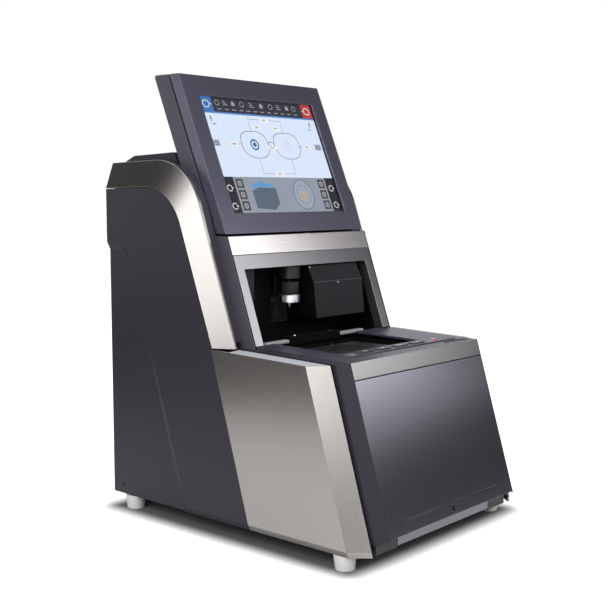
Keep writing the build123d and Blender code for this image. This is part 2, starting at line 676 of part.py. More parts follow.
def power_rocker():
    """Rocker cap, tilted on a pin that lies across it."""
    d = ROCKER_DEPTH
    side = [(d - 4.5, 56.0), (d - 4.5, 72.0), (d + 4.6, 72.0), (d + 2.4, 64.0), (d + 2.8, 56.0)]
    cap = profile(side, SWITCH_X - 5, SWITCH_X + 5)
    return cap & rod_along_x(ROCKER_DEPTH, ROCKER_HEIGHT, 9.0, SWITCH_X - 9, SWITCH_X + 9)


# Power and control inside the case

def power_supply():
    return block(40, 130, 300, 395, PLATE_TOP, 50)


def control_board():
    """Main board on standoffs, with sockets that show through the rear cover."""
    board = block(-110, -20, 215, REAR_DEPTH - 4, SOCKET_HEIGHT - 2, SOCKET_HEIGHT)
    for x0, d0, width, height in ((-100, 230, 24, 8), (-60, 250, 30, 12), (-98, 290, 40, 5),
                                  (-50, 340, 18, 16)):
        board += block(x0, x0 + width, d0, d0 + width, SOCKET_HEIGHT, SOCKET_HEIGHT + height)
    for x0 in SOCKET_XS:
        board += block(x0, x0 + SOCKET_WIDTH, REAR_DEPTH - 17, REAR_DEPTH - 0.4, SOCKET_HEIGHT,
                       SOCKET_HEIGHT + 12)
        board -= block(x0 + 1.5, x0 + SOCKET_WIDTH - 1.5, REAR_DEPTH - 13, REAR_DEPTH + 5,
                       SOCKET_HEIGHT + 1.5, SOCKET_HEIGHT + 10.5)
    for x0 in (-108, -26):
        for d0 in (218, 406):
            board += block(x0, x0 + 4, d0, d0 + 4, PLATE_TOP, SOCKET_HEIGHT - 2)
    return board


# Arm, from the chassis rail frame to the block pin

def rail_frame():
    """Two cross plates and side rails that carry the travel rods."""
    front, rear = RAIL_FRAME_DEPTHS
    frame = block(-126, 126, front - 5, front, 226, 345)
    frame += block(-126, 126, rear, rear + 4, 226, 345)
    for x0 in (-126, 122):
        frame += block(x0, x0 + 4, front - 0.4, rear + 1, 200, 250)
    for x0 in (-126, 114):
        for d0 in (275, 395):
            frame += block(x0, x0 + 12, d0, d0 + 13, PLATE_TOP, 240)
    return frame - block(CHUCK_X - 18, CHUCK_X + 18, front - 7, front + 1, 236, 320)


def travel_rods():
    rods = []
    for x in RAIL_XS:
        rods.append(rod_along_y(x, RAIL_HEIGHT, RAIL_RADIUS, *RAIL_FRAME_DEPTHS).solids()[0])
    return rods


def travel_screw():
    """Travel screw between the cross plates, turned by the motor on the front plate."""
    return rod_along_y(SCREW_X, RAIL_HEIGHT, SCREW_RADIUS, *RAIL_FRAME_DEPTHS)


def travel_motor():
    body = block(SCREW_X - 14, SCREW_X + 14, 246, 270.2, RAIL_HEIGHT - 14, RAIL_HEIGHT + 14)
    return chamfer(body.edges().filter_by(Axis.Y), 3.0)


def carriage():
    """Travelling frame: ears on the rods, two plates and a back that hold the lift guides."""
    d0, d1 = CARRIAGE_DEPTHS
    frame = block(-50, 24, d0, d1, 338, 344)
    frame += block(-50, 24, d0, d1, 228, 234)
    frame += block(-50, 24, d1 - 4, d1, 234, 338)
    for x0, x1 in ((-75, -50), (24, 67)):
        frame += block(x0, x1, d0, d1, 322, 344)
    for x in RAIL_XS:
        frame -= rod_along_y(x, RAIL_HEIGHT, RAIL_RADIUS + RUNNING_CLEARANCE, d0 - 6, d1 + 6)
    return frame - rod_along_y(SCREW_X, RAIL_HEIGHT, SCREW_RADIUS + RUNNING_CLEARANCE, d0 - 6, d1 + 6)


def lift_guides():
    guides = []
    for x in LIFT_XS:
        guides.append(rod_along_z(x, LIFT_DEPTH, LIFT_RADIUS, 234, 338).solids()[0])
    guides.append(rod_along_z(CHUCK_X, LIFT_DEPTH, LIFT_SCREW_RADIUS, 234, 338).solids()[0])
    return guides


def lift_motor():
    body = block(CHUCK_X - 14, CHUCK_X + 14, 376, 402, 200, 227.8)
    return chamfer(body.edges().filter_by(Axis.Z), 3.0)


def arm_beam():
    """Arm: slide block on the lift guides, slender beam, and the round head above the chuck."""
    slide = block(-48, 22, 379, 399, 289, 313)
    beam = block(CHUCK_X - 7, CHUCK_X + 7, 255, 379, 297, 308.5)
    head = rod_along_z(CHUCK_X, CHUCK_DEPTH, CHUCK_RADIUS, 293, ARM_TOP)
    arm = slide + beam + head
    for x in LIFT_XS:
        arm -= rod_along_z(x, LIFT_DEPTH, LIFT_RADIUS + RUNNING_CLEARANCE, 280, 320)
    arm -= rod_along_z(CHUCK_X, LIFT_DEPTH, LIFT_SCREW_RADIUS + RUNNING_CLEARANCE, 280, 320)
    return arm - rod_along_z(CHUCK_X, CHUCK_DEPTH, SPINDLE_RADIUS + RUNNING_CLEARANCE, 280, 304)


def chuck_holder():
    """Turned barrel with its spindle."""
    barrel = rod_along_z(CHUCK_X, CHUCK_DEPTH, CHUCK_RADIUS, 274, 288.7)
    return barrel + rod_along_z(CHUCK_X, CHUCK_DEPTH, SPINDLE_RADIUS, 288.7, 303)


def clamp_ring():
    """Bright ring that grips the block, with a side tab."""
    ring = rod_along_z(CHUCK_X, CHUCK_DEPTH, CHUCK_RADIUS, 263.5, 274)
    ring += block(CHUCK_X - CHUCK_RADIUS - 2.5, CHUCK_X - CHUCK_RADIUS + 2, CHUCK_DEPTH - 2,
                  CHUCK_DEPTH + 2, 268, 272.5)
    return ring - rod_along_z(CHUCK_X, CHUCK_DEPTH, 5.0, 262, 268)


def block_pin():
    pin = rod_along_z(CHUCK_X, CHUCK_DEPTH, 4.9, 262.4, 268)
    return pin + rod_along_z(CHUCK_X, CHUCK_DEPTH, 1.6, 256.5, 262.4)


# Display

def display_plate(half, s0, s1, z0, z1):
    return leaning_plate(display_depth, -half, half, s0, s1, z0, z1)


def display_frame():
    """Front frame: bezel round the screen and a pocket behind it for the panels."""
    frame = display_plate(DISPLAY_HALF_WIDTH, 0, DISPLAY_FRAME_DEPTH, DISPLAY_FOOT_HEIGHT,
                          DISPLAY_TOP_HEIGHT)
    uprights = frame.edges().sort_by(lambda e: abs(e.center().X))[-8:]
    uprights = [e for e in uprights if e.length > 150]
    frame = chamfer(uprights, 0.8)
    frame -= display_plate(SCREEN_HALF_WIDTH, -5, 10, SCREEN_FOOT_HEIGHT, SCREEN_TOP_HEIGHT)
    return frame - display_plate(122, SHEET, 30, 361, 538)


def touch_panel():
    return display_plate(120, SHEET + 0.1, 5, 364, 535)


def lcd_panel():
    return display_plate(112, 5.1, 11, 368, 530)


def display_rear_cover():
    """Rear shell with the narrow core that shows as a dark groove behind the frame."""
    start = DISPLAY_FRAME_DEPTH + DISPLAY_GROOVE
    shell = display_plate(DISPLAY_HALF_WIDTH, start, DISPLAY_TOTAL_DEPTH, DISPLAY_FOOT_HEIGHT,
                          DISPLAY_TOP_HEIGHT)
    back = shell.edges().filter_by(Axis.X).sort_by(lambda e: e.center().Y - 0.418 * e.center().Z)[-2:]
    shell = chamfer(back, 3.0)
    shell += display_plate(DISPLAY_HALF_WIDTH - 5, DISPLAY_FRAME_DEPTH, start,
                           DISPLAY_FOOT_HEIGHT + 5, DISPLAY_TOP_HEIGHT - 5)
    shell -= display_plate(DISPLAY_HALF_WIDTH - 8, 10, DISPLAY_TOTAL_DEPTH - 3,
                           DISPLAY_FOOT_HEIGHT + 8, DISPLAY_TOP_HEIGHT - 8)
    for row in range(8):
        z0 = 480 + 6 * row
        shell -= display_plate(60, 35, 50, z0, z0 + 2.4)
    return shell


def display_hinge_plate():
    """Plate on the display's back with four lugs that turn on the hinge pins."""
    plate = display_plate(70, DISPLAY_TOTAL_DEPTH, DISPLAY_TOTAL_DEPTH + 2.2, 430, 484)
    back = display_depth(TILT_AXIS_HEIGHT) + DISPLAY_TOTAL_DEPTH
    d, z = TILT_AXIS_DEPTH, TILT_AXIS_HEIGHT
    for x in EAR_XS:
        reach = EAR_WIDTH / 2 + 0.6
        plate -= profile(octagon(d, z, 6.3), x - reach, x + reach)
    for x in LUG_XS:
        x0 = x - LUG_WIDTH / 2
        plate += profile([(back - 3.0, z - 6), (d + 2.5, z - 6), (d + 6, z - 2.5), (d + 6, z + 2.5),
                          (d + 2.5, z + 6), (back + 2.0, z + 6)], x0, x0 + LUG_WIDTH)
    for x0, x1 in PIN_SPANS:
        plate -= rod_along_x(d, z, PIN_RADIUS + RUNNING_CLEARANCE, x0 - 2, x1 + 2)
    return plate - display_plate(80, -10, DISPLAY_TOTAL_DEPTH, 425, 490)


def hinge_pins():
    pins = []
    for x0, x1 in PIN_SPANS:
        pins.append(rod_along_x(TILT_AXIS_DEPTH, TILT_AXIS_HEIGHT, PIN_RADIUS, x0, x1).solids()[0])
    return pins


def hinge_bracket():
    """Bracket on the tower that holds the pins between the display's lugs."""
    bracket = block(-68, 68, 330, 352, 419, 423)
    for x0, x1 in PIN_SPANS:
        bracket += block(x0 - 2, x1 + 2, 349, 352, 423, 447)
    d, z = TILT_AXIS_DEPTH, TILT_AXIS_HEIGHT
    for x in EAR_XS:
        bracket += profile([(333.0, 423), (d - 4.9, z - 2), (d - 4.9, z + 2), (d - 2, z + 4.9),
                            (d + 2, z + 4.9), (d + 4.9, z + 2), (349.0, 440), (349.0, 423)],
                           x - EAR_WIDTH / 2, x + EAR_WIDTH / 2)
    for x0, x1 in PIN_SPANS:
        bracket -= rod_along_x(TILT_AXIS_DEPTH, TILT_AXIS_HEIGHT, PIN_RADIUS, x0 - 2, x1 + 2)
    for x0, x1 in ((-HOOD_HALF_WIDTH, -68), (68, HOOD_HALF_WIDTH)):
        bracket += block(x0, x1, 336, 352, 419, 423)
    return bracket


# Drawer

def catch_pin(radius, length):
    """A round piece square to the leaning front, centred on its outer face."""
    place = Pos(0, front_depth(CATCH_HEIGHT) - MID_DEPTH, CATCH_HEIGHT)
    return place * Rot(90 - math.degrees(FRONT_LEAN), 0, 0) * Cylinder(radius, length)


def drawer_front():
    front = leaning_plate(front_depth, -DRAWER_HALF_WIDTH, DRAWER_HALF_WIDTH, 0, SHEET,
                          FRONT_FOOT_HEIGHT, DRAWER_TOP_HEIGHT)
    return front - catch_pin(CATCH_RADIUS + 0.3, 12)


def drawer_catch():
    """Small push catch in the drawer front."""
    return catch_pin(CATCH_RADIUS, 5.4)


def drawer_tray():
    """Open tray that leans with the drawer front, with a pale lip that turns down below it."""
    wall_foot, wall_top, floor = 30.8, 42.0, 24.0
    outline = [(19.0, floor), (front_depth(wall_foot) + SHEET, wall_foot),
               (front_depth(wall_top) + SHEET, wall_top), (DRAWER_LENGTH, wall_top),
               (DRAWER_LENGTH, floor)]
    inside = [(20.6, floor + TRAY_WALL), (front_depth(wall_foot) + SHEET + 1.6, wall_foot + 0.8),
              (front_depth(50) + SHEET + 1.6, 50), (DRAWER_LENGTH - TRAY_WALL, 50),
              (DRAWER_LENGTH - TRAY_WALL, floor + TRAY_WALL)]
    tray = profile(outline, -90, 90) - profile(inside, -90 + TRAY_WALL, 90 - TRAY_WALL)
    tray += block(-DRAWER_HALF_WIDTH, DRAWER_HALF_WIDTH, 17.2, 19.0, 13.2, floor + 1.2)
    return tray - catch_pin(CATCH_RADIUS + 0.3, 16)


def drawer_runners():
    runners = []
    for side in (-1, 1):
        x0 = min(side * 90.4, side * 93.4)
        rail = block(x0, x0 + 3, 30, DRAWER_LENGTH, PLATE_TOP, 36)
        x1 = min(side * 86, side * 93.4)
        rail += block(x1, x1 + 7.4, 30, DRAWER_LENGTH, 20.5, 23.6)
        runners.append(rail.solids()[0])
    return runners


os.makedirs("parts", exist_ok=True)

single_pieces = {
    "base_plate": base_plate,
    "rubber_feet": rubber_feet,
    "front_panel": front_panel,
    "front_top_trim": front_top_trim,
    "deck_plate": deck_plate,
    "key_panel": key_panel,
    "status_lamp": status_lamp,
    "stage_tray": stage_tray,
    "stage_table": stage_table,
    "stage_window": stage_window,
    "lens_rest_pins": lens_rest_pins,
    "cross_rails": cross_rails,
    "cross_block": cross_block,
    "tower_frame": tower_frame,
    "trim_strip": trim_strip,
    "tower_shell": tower_shell,
    "cavity_liner": cavity_liner,
    "camera_housing": camera_housing,
    "camera_unit": camera_unit,
    "top_cover": top_cover,
    "rear_cover": rear_cover,
    "power_inlet": power_inlet,
    "power_rocker": power_rocker,
    "power_supply": power_supply,
    "control_board": control_board,
    "rail_frame": rail_frame,
    "travel_rods": travel_rods,
    "travel_screw": travel_screw,
    "travel_motor": travel_motor,
    "carriage": carriage,
    "lift_guides": lift_guides,
    "lift_motor": lift_motor,
    "arm_beam": arm_beam,
    "chuck_holder": chuck_holder,
    "clamp_ring": clamp_ring,
    "block_pin": block_pin,
    "display_frame": display_frame,
    "touch_panel": touch_panel,
    "lcd_panel": lcd_panel,
    "display_rear_cover": display_rear_cover,
    "display_hinge_plate": display_hinge_plate,
    "hinge_pins": hinge_pins,
    "hinge_bracket": hinge_bracket,
    "drawer_front": drawer_front,
    "drawer_catch": drawer_catch,
    "drawer_tray": drawer_tray,
    "drawer_runners": drawer_runners,
}
for name, make in single_pieces.items():
    write(name, make())

paired_pieces = {
    "side_cover": side_cover,
    "arch_band": arch_band,
    "front_side_panel": front_side_panel,
    "corner_post": corner_post,
}
for name, make in paired_pieces.items():
    left = make()
    write(name + "_left", left)
    write(name + "_right", mirrored(left))

for index in range(KEY_COUNT):
    write("key_" + str(index + 1), key(index))
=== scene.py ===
import math

import bmesh
import bpy
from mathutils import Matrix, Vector


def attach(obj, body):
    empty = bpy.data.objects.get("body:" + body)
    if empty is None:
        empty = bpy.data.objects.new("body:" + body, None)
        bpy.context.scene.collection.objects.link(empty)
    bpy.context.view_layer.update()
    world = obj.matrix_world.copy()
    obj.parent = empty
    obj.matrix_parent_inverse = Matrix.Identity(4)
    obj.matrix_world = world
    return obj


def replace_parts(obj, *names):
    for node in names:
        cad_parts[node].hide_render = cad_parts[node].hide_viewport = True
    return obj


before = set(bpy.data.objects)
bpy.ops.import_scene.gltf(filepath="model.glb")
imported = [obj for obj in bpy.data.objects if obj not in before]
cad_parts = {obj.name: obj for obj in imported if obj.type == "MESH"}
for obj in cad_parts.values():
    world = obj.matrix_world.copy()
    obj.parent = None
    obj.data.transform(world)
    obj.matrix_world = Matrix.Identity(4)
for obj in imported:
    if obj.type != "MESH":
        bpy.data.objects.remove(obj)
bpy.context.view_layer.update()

# Camera. The machine was photographed from low at its front left corner with a longish lens,
# so that the left side and the front are both seen and the uprights stay nearly upright.
CAMERA_PLACE = (-1.0267, -0.8814, 0.4086)
CAMERA_TURN = -48.7
CAMERA_DIP = 5.97
CAMERA_LENS = 63.4

camera = bpy.data.objects.new("camera", bpy.data.cameras.new("camera"))
camera.data.sensor_width = 36.0
camera.data.lens = CAMERA_LENS
camera.location = CAMERA_PLACE
camera.rotation_euler = (math.radians(90 - CAMERA_DIP), 0, math.radians(CAMERA_TURN))
bpy.context.scene.collection.objects.link(camera)
bpy.context.scene.camera = camera
bpy.context.scene.view_settings.view_transform = "Standard"

# Studio. A white sweep, two big soft boxes at the left and the front, and a soft top light. Cards
# that only reflections see stand at the right, at the back and low all round, and give the metal
# its dark ends. They are black, but the one close by at the left is dark grey.
SWEEP_WHITE = 0.60
SWEEP_SHADED = 0.12
SWEEP_RADIUS = 9.0
SWEEP_SIDES = 48
SHADOW_MIDDLE = (0.002, 0.012)
SHADOW_HALF = (0.154, 0.188)
SHADOW_REACH = 0.046
ROOM_LIGHT = 0.32


class Signal:
    """One output of a shader's nodes. Plain expressions on it add the nodes that they need."""

    def __init__(self, tree, socket=None):
        self.tree = tree
        self.socket = socket

    def node(self, kind, settings=None, inputs=None, output=0):
        """A node of any other kind: its settings first, then its sockets' values or links."""
        made = self.tree.nodes.new("ShaderNode" + kind)
        for name, value in (settings or {}).items():
            setattr(made, name, value)
        for name, value in (inputs or {}).items():
            if isinstance(value, Signal):
                self.tree.links.new(value.socket, made.inputs[name])
            else:
                made.inputs[name].default_value = value
        return Signal(self.tree, made.outputs[output])

    def maths(self, operation, first, second, clamp=False):
        settings = {"operation": operation, "use_clamp": clamp}
        return self.node("Math", settings, {0: first, 1: second})

    def __add__(self, other):
        return self.maths("ADD", self, other)

    def __radd__(self, other):
        return self.maths("ADD", other, self)

    def __sub__(self, other):
        return self.maths("SUBTRACT", self, other)

    def __rsub__(self, other):
        return self.maths("SUBTRACT", other, self)

    def __mul__(self, other):
        return self.maths("MULTIPLY", self, other)

    def __rmul__(self, other):
        return self.maths("MULTIPLY", other, self)

    def __truediv__(self, other):
        return self.maths("DIVIDE", self, other)

    def __rtruediv__(self, other):
        return self.maths("DIVIDE", other, self)

    def clipped(self):
        return self.maths("ADD", self, 0.0, clamp=True)

    def size(self):
        return self.maths("ABSOLUTE", self, 0.0)

    def at_least(self, low):
        return self.maths("MAXIMUM", self, low)

    def root(self):
        return self.maths("SQRT", self, 0.0)

    def part(self, axis):
        """One coordinate of a place, by its letter."""
        return self.node("SeparateXYZ", {}, {0: self}, output=axis)

    def between(self, low, high):
        """The colour that goes from low to high while this value goes from 0 to 1."""
        return self.node("Mix", {"data_type": "RGBA"}, {0: self, 6: low, 7: high}, output=2)


def seen_rays(signal):
    """1 for what the camera sees, also in a mirror or through glass, and 0 for all other light."""
    straight = signal.node("LightPath", output="Is Camera Ray")
    glossy = signal.node("LightPath", output="Is Glossy Ray")
    clear = signal.node("LightPath", output="Is Transmission Ray")
    return (straight + glossy + clear).clipped()


world = bpy.data.worlds.new("studio")
world.use_nodes = True
bpy.context.scene.world = world
room = Signal(world.node_tree)
backdrop = world.node_tree.nodes["Background"]
backdrop.inputs["Color"].default_value = (1, 1, 1, 1)
world.node_tree.links.new((seen_rays(room) * (1 - ROOM_LIGHT) + ROOM_LIGHT).socket,
                          backdrop.inputs["Strength"])


def finish(name, paint):
    """A named material. paint gets a Signal and returns the values or links of the shader."""
    material = bpy.data.materials.new(name)
    material.use_nodes = True
    shader = material.node_tree.nodes["Principled BSDF"]
    for socket, value in paint(Signal(material.node_tree)).items():
        if isinstance(value, Signal):
            material.node_tree.links.new(value.socket, shader.inputs[socket])
        else:
            shader.inputs[socket].default_value = value
    return material


def machine_place(signal):
    """Points of the surface in the machine's own metres, so that grain rides with the piece."""
    return signal.node("TexCoord", output="Object")


def noise(place, scale, detail=2.0, rough=0.5, stretch=(1, 1, 1)):
    """Even noise of 0 to 1, with grains about 1/scale metres across, or longer where stretched."""
    spread = place.node("VectorMath", {"operation": "MULTIPLY"}, {0: place, 1: stretch})
    return place.node("TexNoise", {}, {"Vector": spread, "Scale": scale, "Detail": detail,
                                       "Roughness": rough})


def sweep_paint(signal):
    """White card, painted darker in a soft rectangle round the machine's footprint: a painted
    contact shadow over the lamps' own shadow. Outside that rectangle the card glows to the camera.
    """
    place = machine_place(signal)
    beside = ((place.part("X") - SHADOW_MIDDLE[0]).size() - SHADOW_HALF[0]).at_least(0.0)
    before = ((place.part("Y") - SHADOW_MIDDLE[1]).size() - SHADOW_HALF[1]).at_least(0.0)
    out = (beside * beside + before * before).root()
    ramp = (out / SHADOW_REACH).clipped()
    lift = ramp * ramp * (3.0 - ramp * 2.0)
    grain = noise(place, 3)
    # The base colour goes from the painted shadow near the machine to white further out.
    painted_shadow = (SWEEP_SHADED,) * 3 + (1,)
    white = (SWEEP_WHITE,) * 3 + (1,)
    return {"Base Color": (lift * 0.98 + grain * 0.02).between(painted_shadow, white), "Roughness": 0.95,
            "Specular IOR Level": 0.0, "Emission Color": (1, 1, 1, 1),
            "Emission Strength": seen_rays(signal) * lift}


def mesh_piece(name, points, faces):
    """A mesh object from its points, in metres in the machine's frame, and its faces."""
    mesh = bpy.data.meshes.new(name)
    mesh.from_pydata([tuple(p) for p in points], [], faces)
    mesh.validate()
    piece = bpy.data.objects.new(name, mesh)
    bpy.context.scene.collection.objects.link(piece)
    return piece


ring_of_points = []
for i in range(SWEEP_SIDES):
    a = math.tau * i / SWEEP_SIDES
    ring_of_points.append((SWEEP_RADIUS * math.cos(a), SWEEP_RADIUS * math.sin(a), 0))
sweep = mesh_piece("sweep", ring_of_points, [list(range(SWEEP_SIDES))])
sweep.data.materials.append(finish("sweep_white", sweep_paint))


def direction(turn, height):
    """Unit vector: turn is in degrees from +X towards +Y, height in degrees above level."""
    t, h = math.radians(turn), math.radians(height)
    return Vector((math.cos(t) * math.cos(h), math.sin(t) * math.cos(h), math.sin(h)))


AIM = Vector((0, 0, 0.28))


def soft_box(name, turn, height, distance, width, tall, brightness):
    """A lamp behind a wide diffuser that faces the machine, in degrees and metres."""
    lamp = bpy.data.lights.new(name, "AREA")
    lamp.shape = "RECTANGLE"
    lamp.size = width
    lamp.size_y = tall
    lamp.energy = brightness * math.pi * width * tall
    box = bpy.data.objects.new(name, lamp)
    box.location = AIM + direction(turn, height) * distance
    box.rotation_euler = (-direction(turn, height)).to_track_quat("-Z", "Y").to_euler()
    bpy.context.scene.collection.objects.link(box)


soft_box("front_box", -72, 22.5, distance=2.5, width=3.4, tall=1.12, brightness=2.9)
soft_box("left_box", -165, 27, distance=2.4, width=2.8, tall=1.8, brightness=4.2)
soft_box("top_box", 60, 80, distance=2.2, width=2.4, tall=2.0, brightness=0.9)


def card_paint(red, green, blue):
    """Matt card without any sheen."""
    def paint(signal):
        return {"Base Color": (red, green, blue, 1), "Roughness": 1.0, "Specular IOR Level": 0.0}
    return paint


card_black = finish("card_black", card_paint(0.01, 0.01, 0.012))
card_dark = finish("card_dark", card_paint(0.16, 0.155, 0.15))


def reflection_card(name, material, points, faces):
    """A card that shows only in reflections: it casts no shadow and sends no light about."""
    card = mesh_piece(name, points, faces)
    card.data.materials.append(material)
    card.visible_camera = False
    card.visible_diffuse = False
    card.visible_shadow = False


def flat_card(turn, height, distance, width, tall):
    """Corners and face of a flat card that faces the machine, in degrees and metres."""
    across = direction(turn + 90, 0) * width / 2
    up = direction(turn, height).cross(across).normalized() * tall / 2
    middle = AIM + direction(turn, height) * distance
    corners = [middle - across - up, middle + across - up,
               middle + across + up, middle - across + up]
    return corners, [(0, 1, 2, 3)]


def low_wall(start, stop, radius, top):
    """Corners and faces of a low upright wall that runs round the machine between two turns."""
    count, foot = 24, 0.002
    points = []
    for i in range(count + 1):
        a = math.radians(start + (stop - start) * i / count)
        points += [(radius * math.cos(a), radius * math.sin(a), z) for z in (foot, top)]
    return points, [(2 * i, 2 * i + 2, 2 * i + 3, 2 * i + 1) for i in range(count)]


reflection_card("right_card", card_black, *flat_card(-7.5, 24, 2.6, 2.75, 2.7))
reflection_card("low_card_left", card_black, *low_wall(175, 222, 1.6, 0.34))
reflection_card("low_card_front", card_black, *low_wall(250, 350, 1.6, 0.35))
reflection_card("near_card_left", card_dark, *low_wall(95, 176, 0.85, 0.23))
reflection_card("back_left_card", card_black, *flat_card(130, 33, 2.4, 1.7, 1.6))

# Chassis. A folded floor plate, painted dark, carries the machine on four tapered pale rubber
# feet. Its edge and two skirt pieces show only as a dark strip beside the drawer's lip.
SKIRT_X = (0.0943, 0.1326)
SKIRT_Y = (-0.1994, -0.1926)
SKIRT_Z = (0.0173, 0.0301)
WELD_REACH = 0.000004


def bump(height, depth, strength=1.0):
    """Relief for a shader's Normal: a height of 0 to 1, over a depth in metres."""
    return height.node("Bump", {}, {"Height": height, "Distance": depth, "Strength": strength})


def shade(level, tint=(1.0, 1.0, 1.0)):
    """A colour for a shader: a grey level as a screen shows it, 0 to 255, times a tint."""
    value = level / 255
    linear = value / 12.92 if value <= 0.04045 else ((value + 0.055) / 1.055) ** 2.4
    return tuple(linear * part for part in tint) + (1,)


def moulded_paint(level, tint, grain=1500, rough=0.42, gloss=0.3):
    """Injection moulded plastic with the fine spark-eroded texture of instrument covers."""
    def paint(signal):
        place = machine_place(signal)
        cloud = noise(place, 7, 3.0)
        pits = noise(place, grain, 3.0, 0.6)
        low = shade(level * 0.93, tint)
        high = shade(level * 1.08, tint)
        return {"Base Color": (cloud * 0.5 + pits * 0.5).between(low, high),
                "Roughness": pits * 0.16 + cloud * 0.05 + (rough - 0.1),
                "Specular IOR Level": gloss, "Normal": bump(pits, 0.00006, 0.7)}
    return paint


def rubber_paint(signal):
    """Pale rubber with a little dust in its skin."""
    place = machine_place(signal)
    dust = noise(place, 60, 4.0)
    return {"Base Color": dust.between(shade(188, (1, 0.985, 0.96)), shade(208, (1, 0.99, 0.98))),
            "Roughness": dust * 0.15 + 0.5, "Normal": bump(noise(place, 1800), 0.00004)}


def ease(piece, edge, steps=2, sharp=34):
    """Round the edges that are sharper than an angle, over a width in metres."""
    if "custom_normal" in piece.data.attributes:
        piece.data.attributes.remove(piece.data.attributes["custom_normal"])
    piece.data.shade_smooth()
    weld = piece.modifiers.new("weld", "WELD")
    weld.merge_threshold = WELD_REACH
    easing = piece.modifiers.new("eased_edges", "BEVEL")
    easing.width = edge
    easing.segments = steps
    easing.limit_method = "ANGLE"
    easing.angle_limit = math.radians(sharp)
    easing.harden_normals = True


def dress(node, material, edge=0.0, steps=2, sharp=34):
    """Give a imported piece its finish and, where an edge width is given, its eased edges."""
    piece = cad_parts[node]
    piece.data.materials.clear()
    piece.data.materials.append(material)
    if edge:
        ease(piece, edge, steps, sharp)


def box_points(low, high):
    """A block's eight corners, in the order that BOX_FACES counts them."""
    return [(x, y, z) for x in (low[0], high[0]) for y in (low[1], high[1])
            for z in (low[2], high[2])]


BOX_FACES = [(0, 1, 3, 2), (4, 6, 7, 5), (0, 4, 5, 1), (2, 3, 7, 6), (0, 2, 6, 4), (1, 5, 7, 3)]


def blocks(spans, y, z):
    """Lowest and highest corners of blocks that stand side by side, each with its span in X."""
    return [((x0, y[0], z[0]), (x1, y[1], z[1])) for x0, x1 in spans]


def boxes_piece(name, corners, material, body, edge=0.0):
    """Several small blocks in one mesh, each given by its lowest and highest corner."""
    points, faces = [], []
    for low, high in corners:
        start = len(points)
        points += box_points(low, high)
        faces += [tuple(start + i for i in face) for face in BOX_FACES]
    piece = mesh_piece(name, points, faces)
    piece.data.materials.append(material)
    if edge:
        ease(piece, edge)
    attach(piece, body)
    return piece


chassis_black = finish("chassis_black", moulded_paint(30, (1, 0.97, 1.06), grain=900, rough=0.5))
foot_rubber = finish("foot_rubber", rubber_paint)
dress("base_plate", chassis_black)
dress("rubber_feet", foot_rubber, 0.0012, steps=3)
boxes_piece("skirt_ends", blocks([SKIRT_X, (-SKIRT_X[1], -SKIRT_X[0])], SKIRT_Y, SKIRT_Z),
            chassis_black, "cabinet", 0.0006)

# Power and control. A caged power supply and a green main board stand on the chassis; the board's
# sockets and a moulded mains inlet with its rocker switch show through the rear cover.
INLET_PINS = ((0.085, 0.0681), (0.099, 0.0681), (0.092, 0.0726))
INLET_PIN_HALF = (0.00115, 0.00215)
INLET_PIN_Y = (0.2002, 0.21535)
black_plastic = finish("black_plastic", moulded_paint(30, (1, 1, 1.03)))
board_green = finish("board_green", moulded_paint(
    48, (0.4, 1.0, 0.6), grain=400, rough=0.35, gloss=0.4))


def zinc_paint(signal):
    """Zinc plated sheet with its pale spangle and fine scratches."""
    place = machine_place(signal)
    spangle = noise(place, 160, 3.0)
    scratches = noise(place, 900, 1.0, stretch=(0.05, 1, 1))
    return {"Base Color": spangle.between(shade(150), shade(190, (0.97, 1.0, 1.04))),
            "Metallic": 1.0, "Roughness": spangle * 0.2 + 0.3, "Normal": bump(scratches, 0.00002)}


zinc = finish("zinc_plate", zinc_paint)
for node in ("power_inlet", "power_rocker"):
    dress(node, black_plastic, 0.0004)
dress("control_board", board_green)
dress("power_supply", zinc)


def turned_metal_paint(level, tint=(1, 1, 1), rough=0.22, relief=1.0):
    """Turned or ground metal: fine rings or lines that catch the light."""
    def paint(signal):
        place = machine_place(signal)
        lines = noise(place, 1400, stretch=(0.3, 0.3, 4))
        return {"Base Color": lines.between(shade(level * 0.94, tint), shade(level * 1.04, tint)),
                "Metallic": 1.0, "Roughness": lines * 0.12 + (rough - 0.06),
                "Normal": bump(lines, 0.000015, relief)}
    return paint


bare_steel = finish("bare_steel", turned_metal_paint(200, (1, 1, 1.02)))
plating = []
for x, z in INLET_PINS:
    plating += blocks([(x - INLET_PIN_HALF[0], x + INLET_PIN_HALF[0])], INLET_PIN_Y,
                      (z - INLET_PIN_HALF[1], z + INLET_PIN_HALF[1]))
boxes_piece("inlet_pin_plating", plating, bare_steel, "cabinet", 0.0002)

# Arm drive. Ground rods and a travel screw between two zinc cross plates carry an aluminium
# carriage, and the carriage's own guides lower the arm. At rest the cavity's liner hides it all.
pale_aluminium = finish("pale_aluminium", turned_metal_paint(205, (1, 1, 1.01), rough=0.3))
dress("rail_frame", zinc)
for node in ("travel_rods", "travel_screw", "lift_guides"):
    dress(node, bare_steel)
for node in ("travel_motor", "lift_motor"):
    dress(node, black_plastic)
dress("carriage", pale_aluminium, 0.0005)

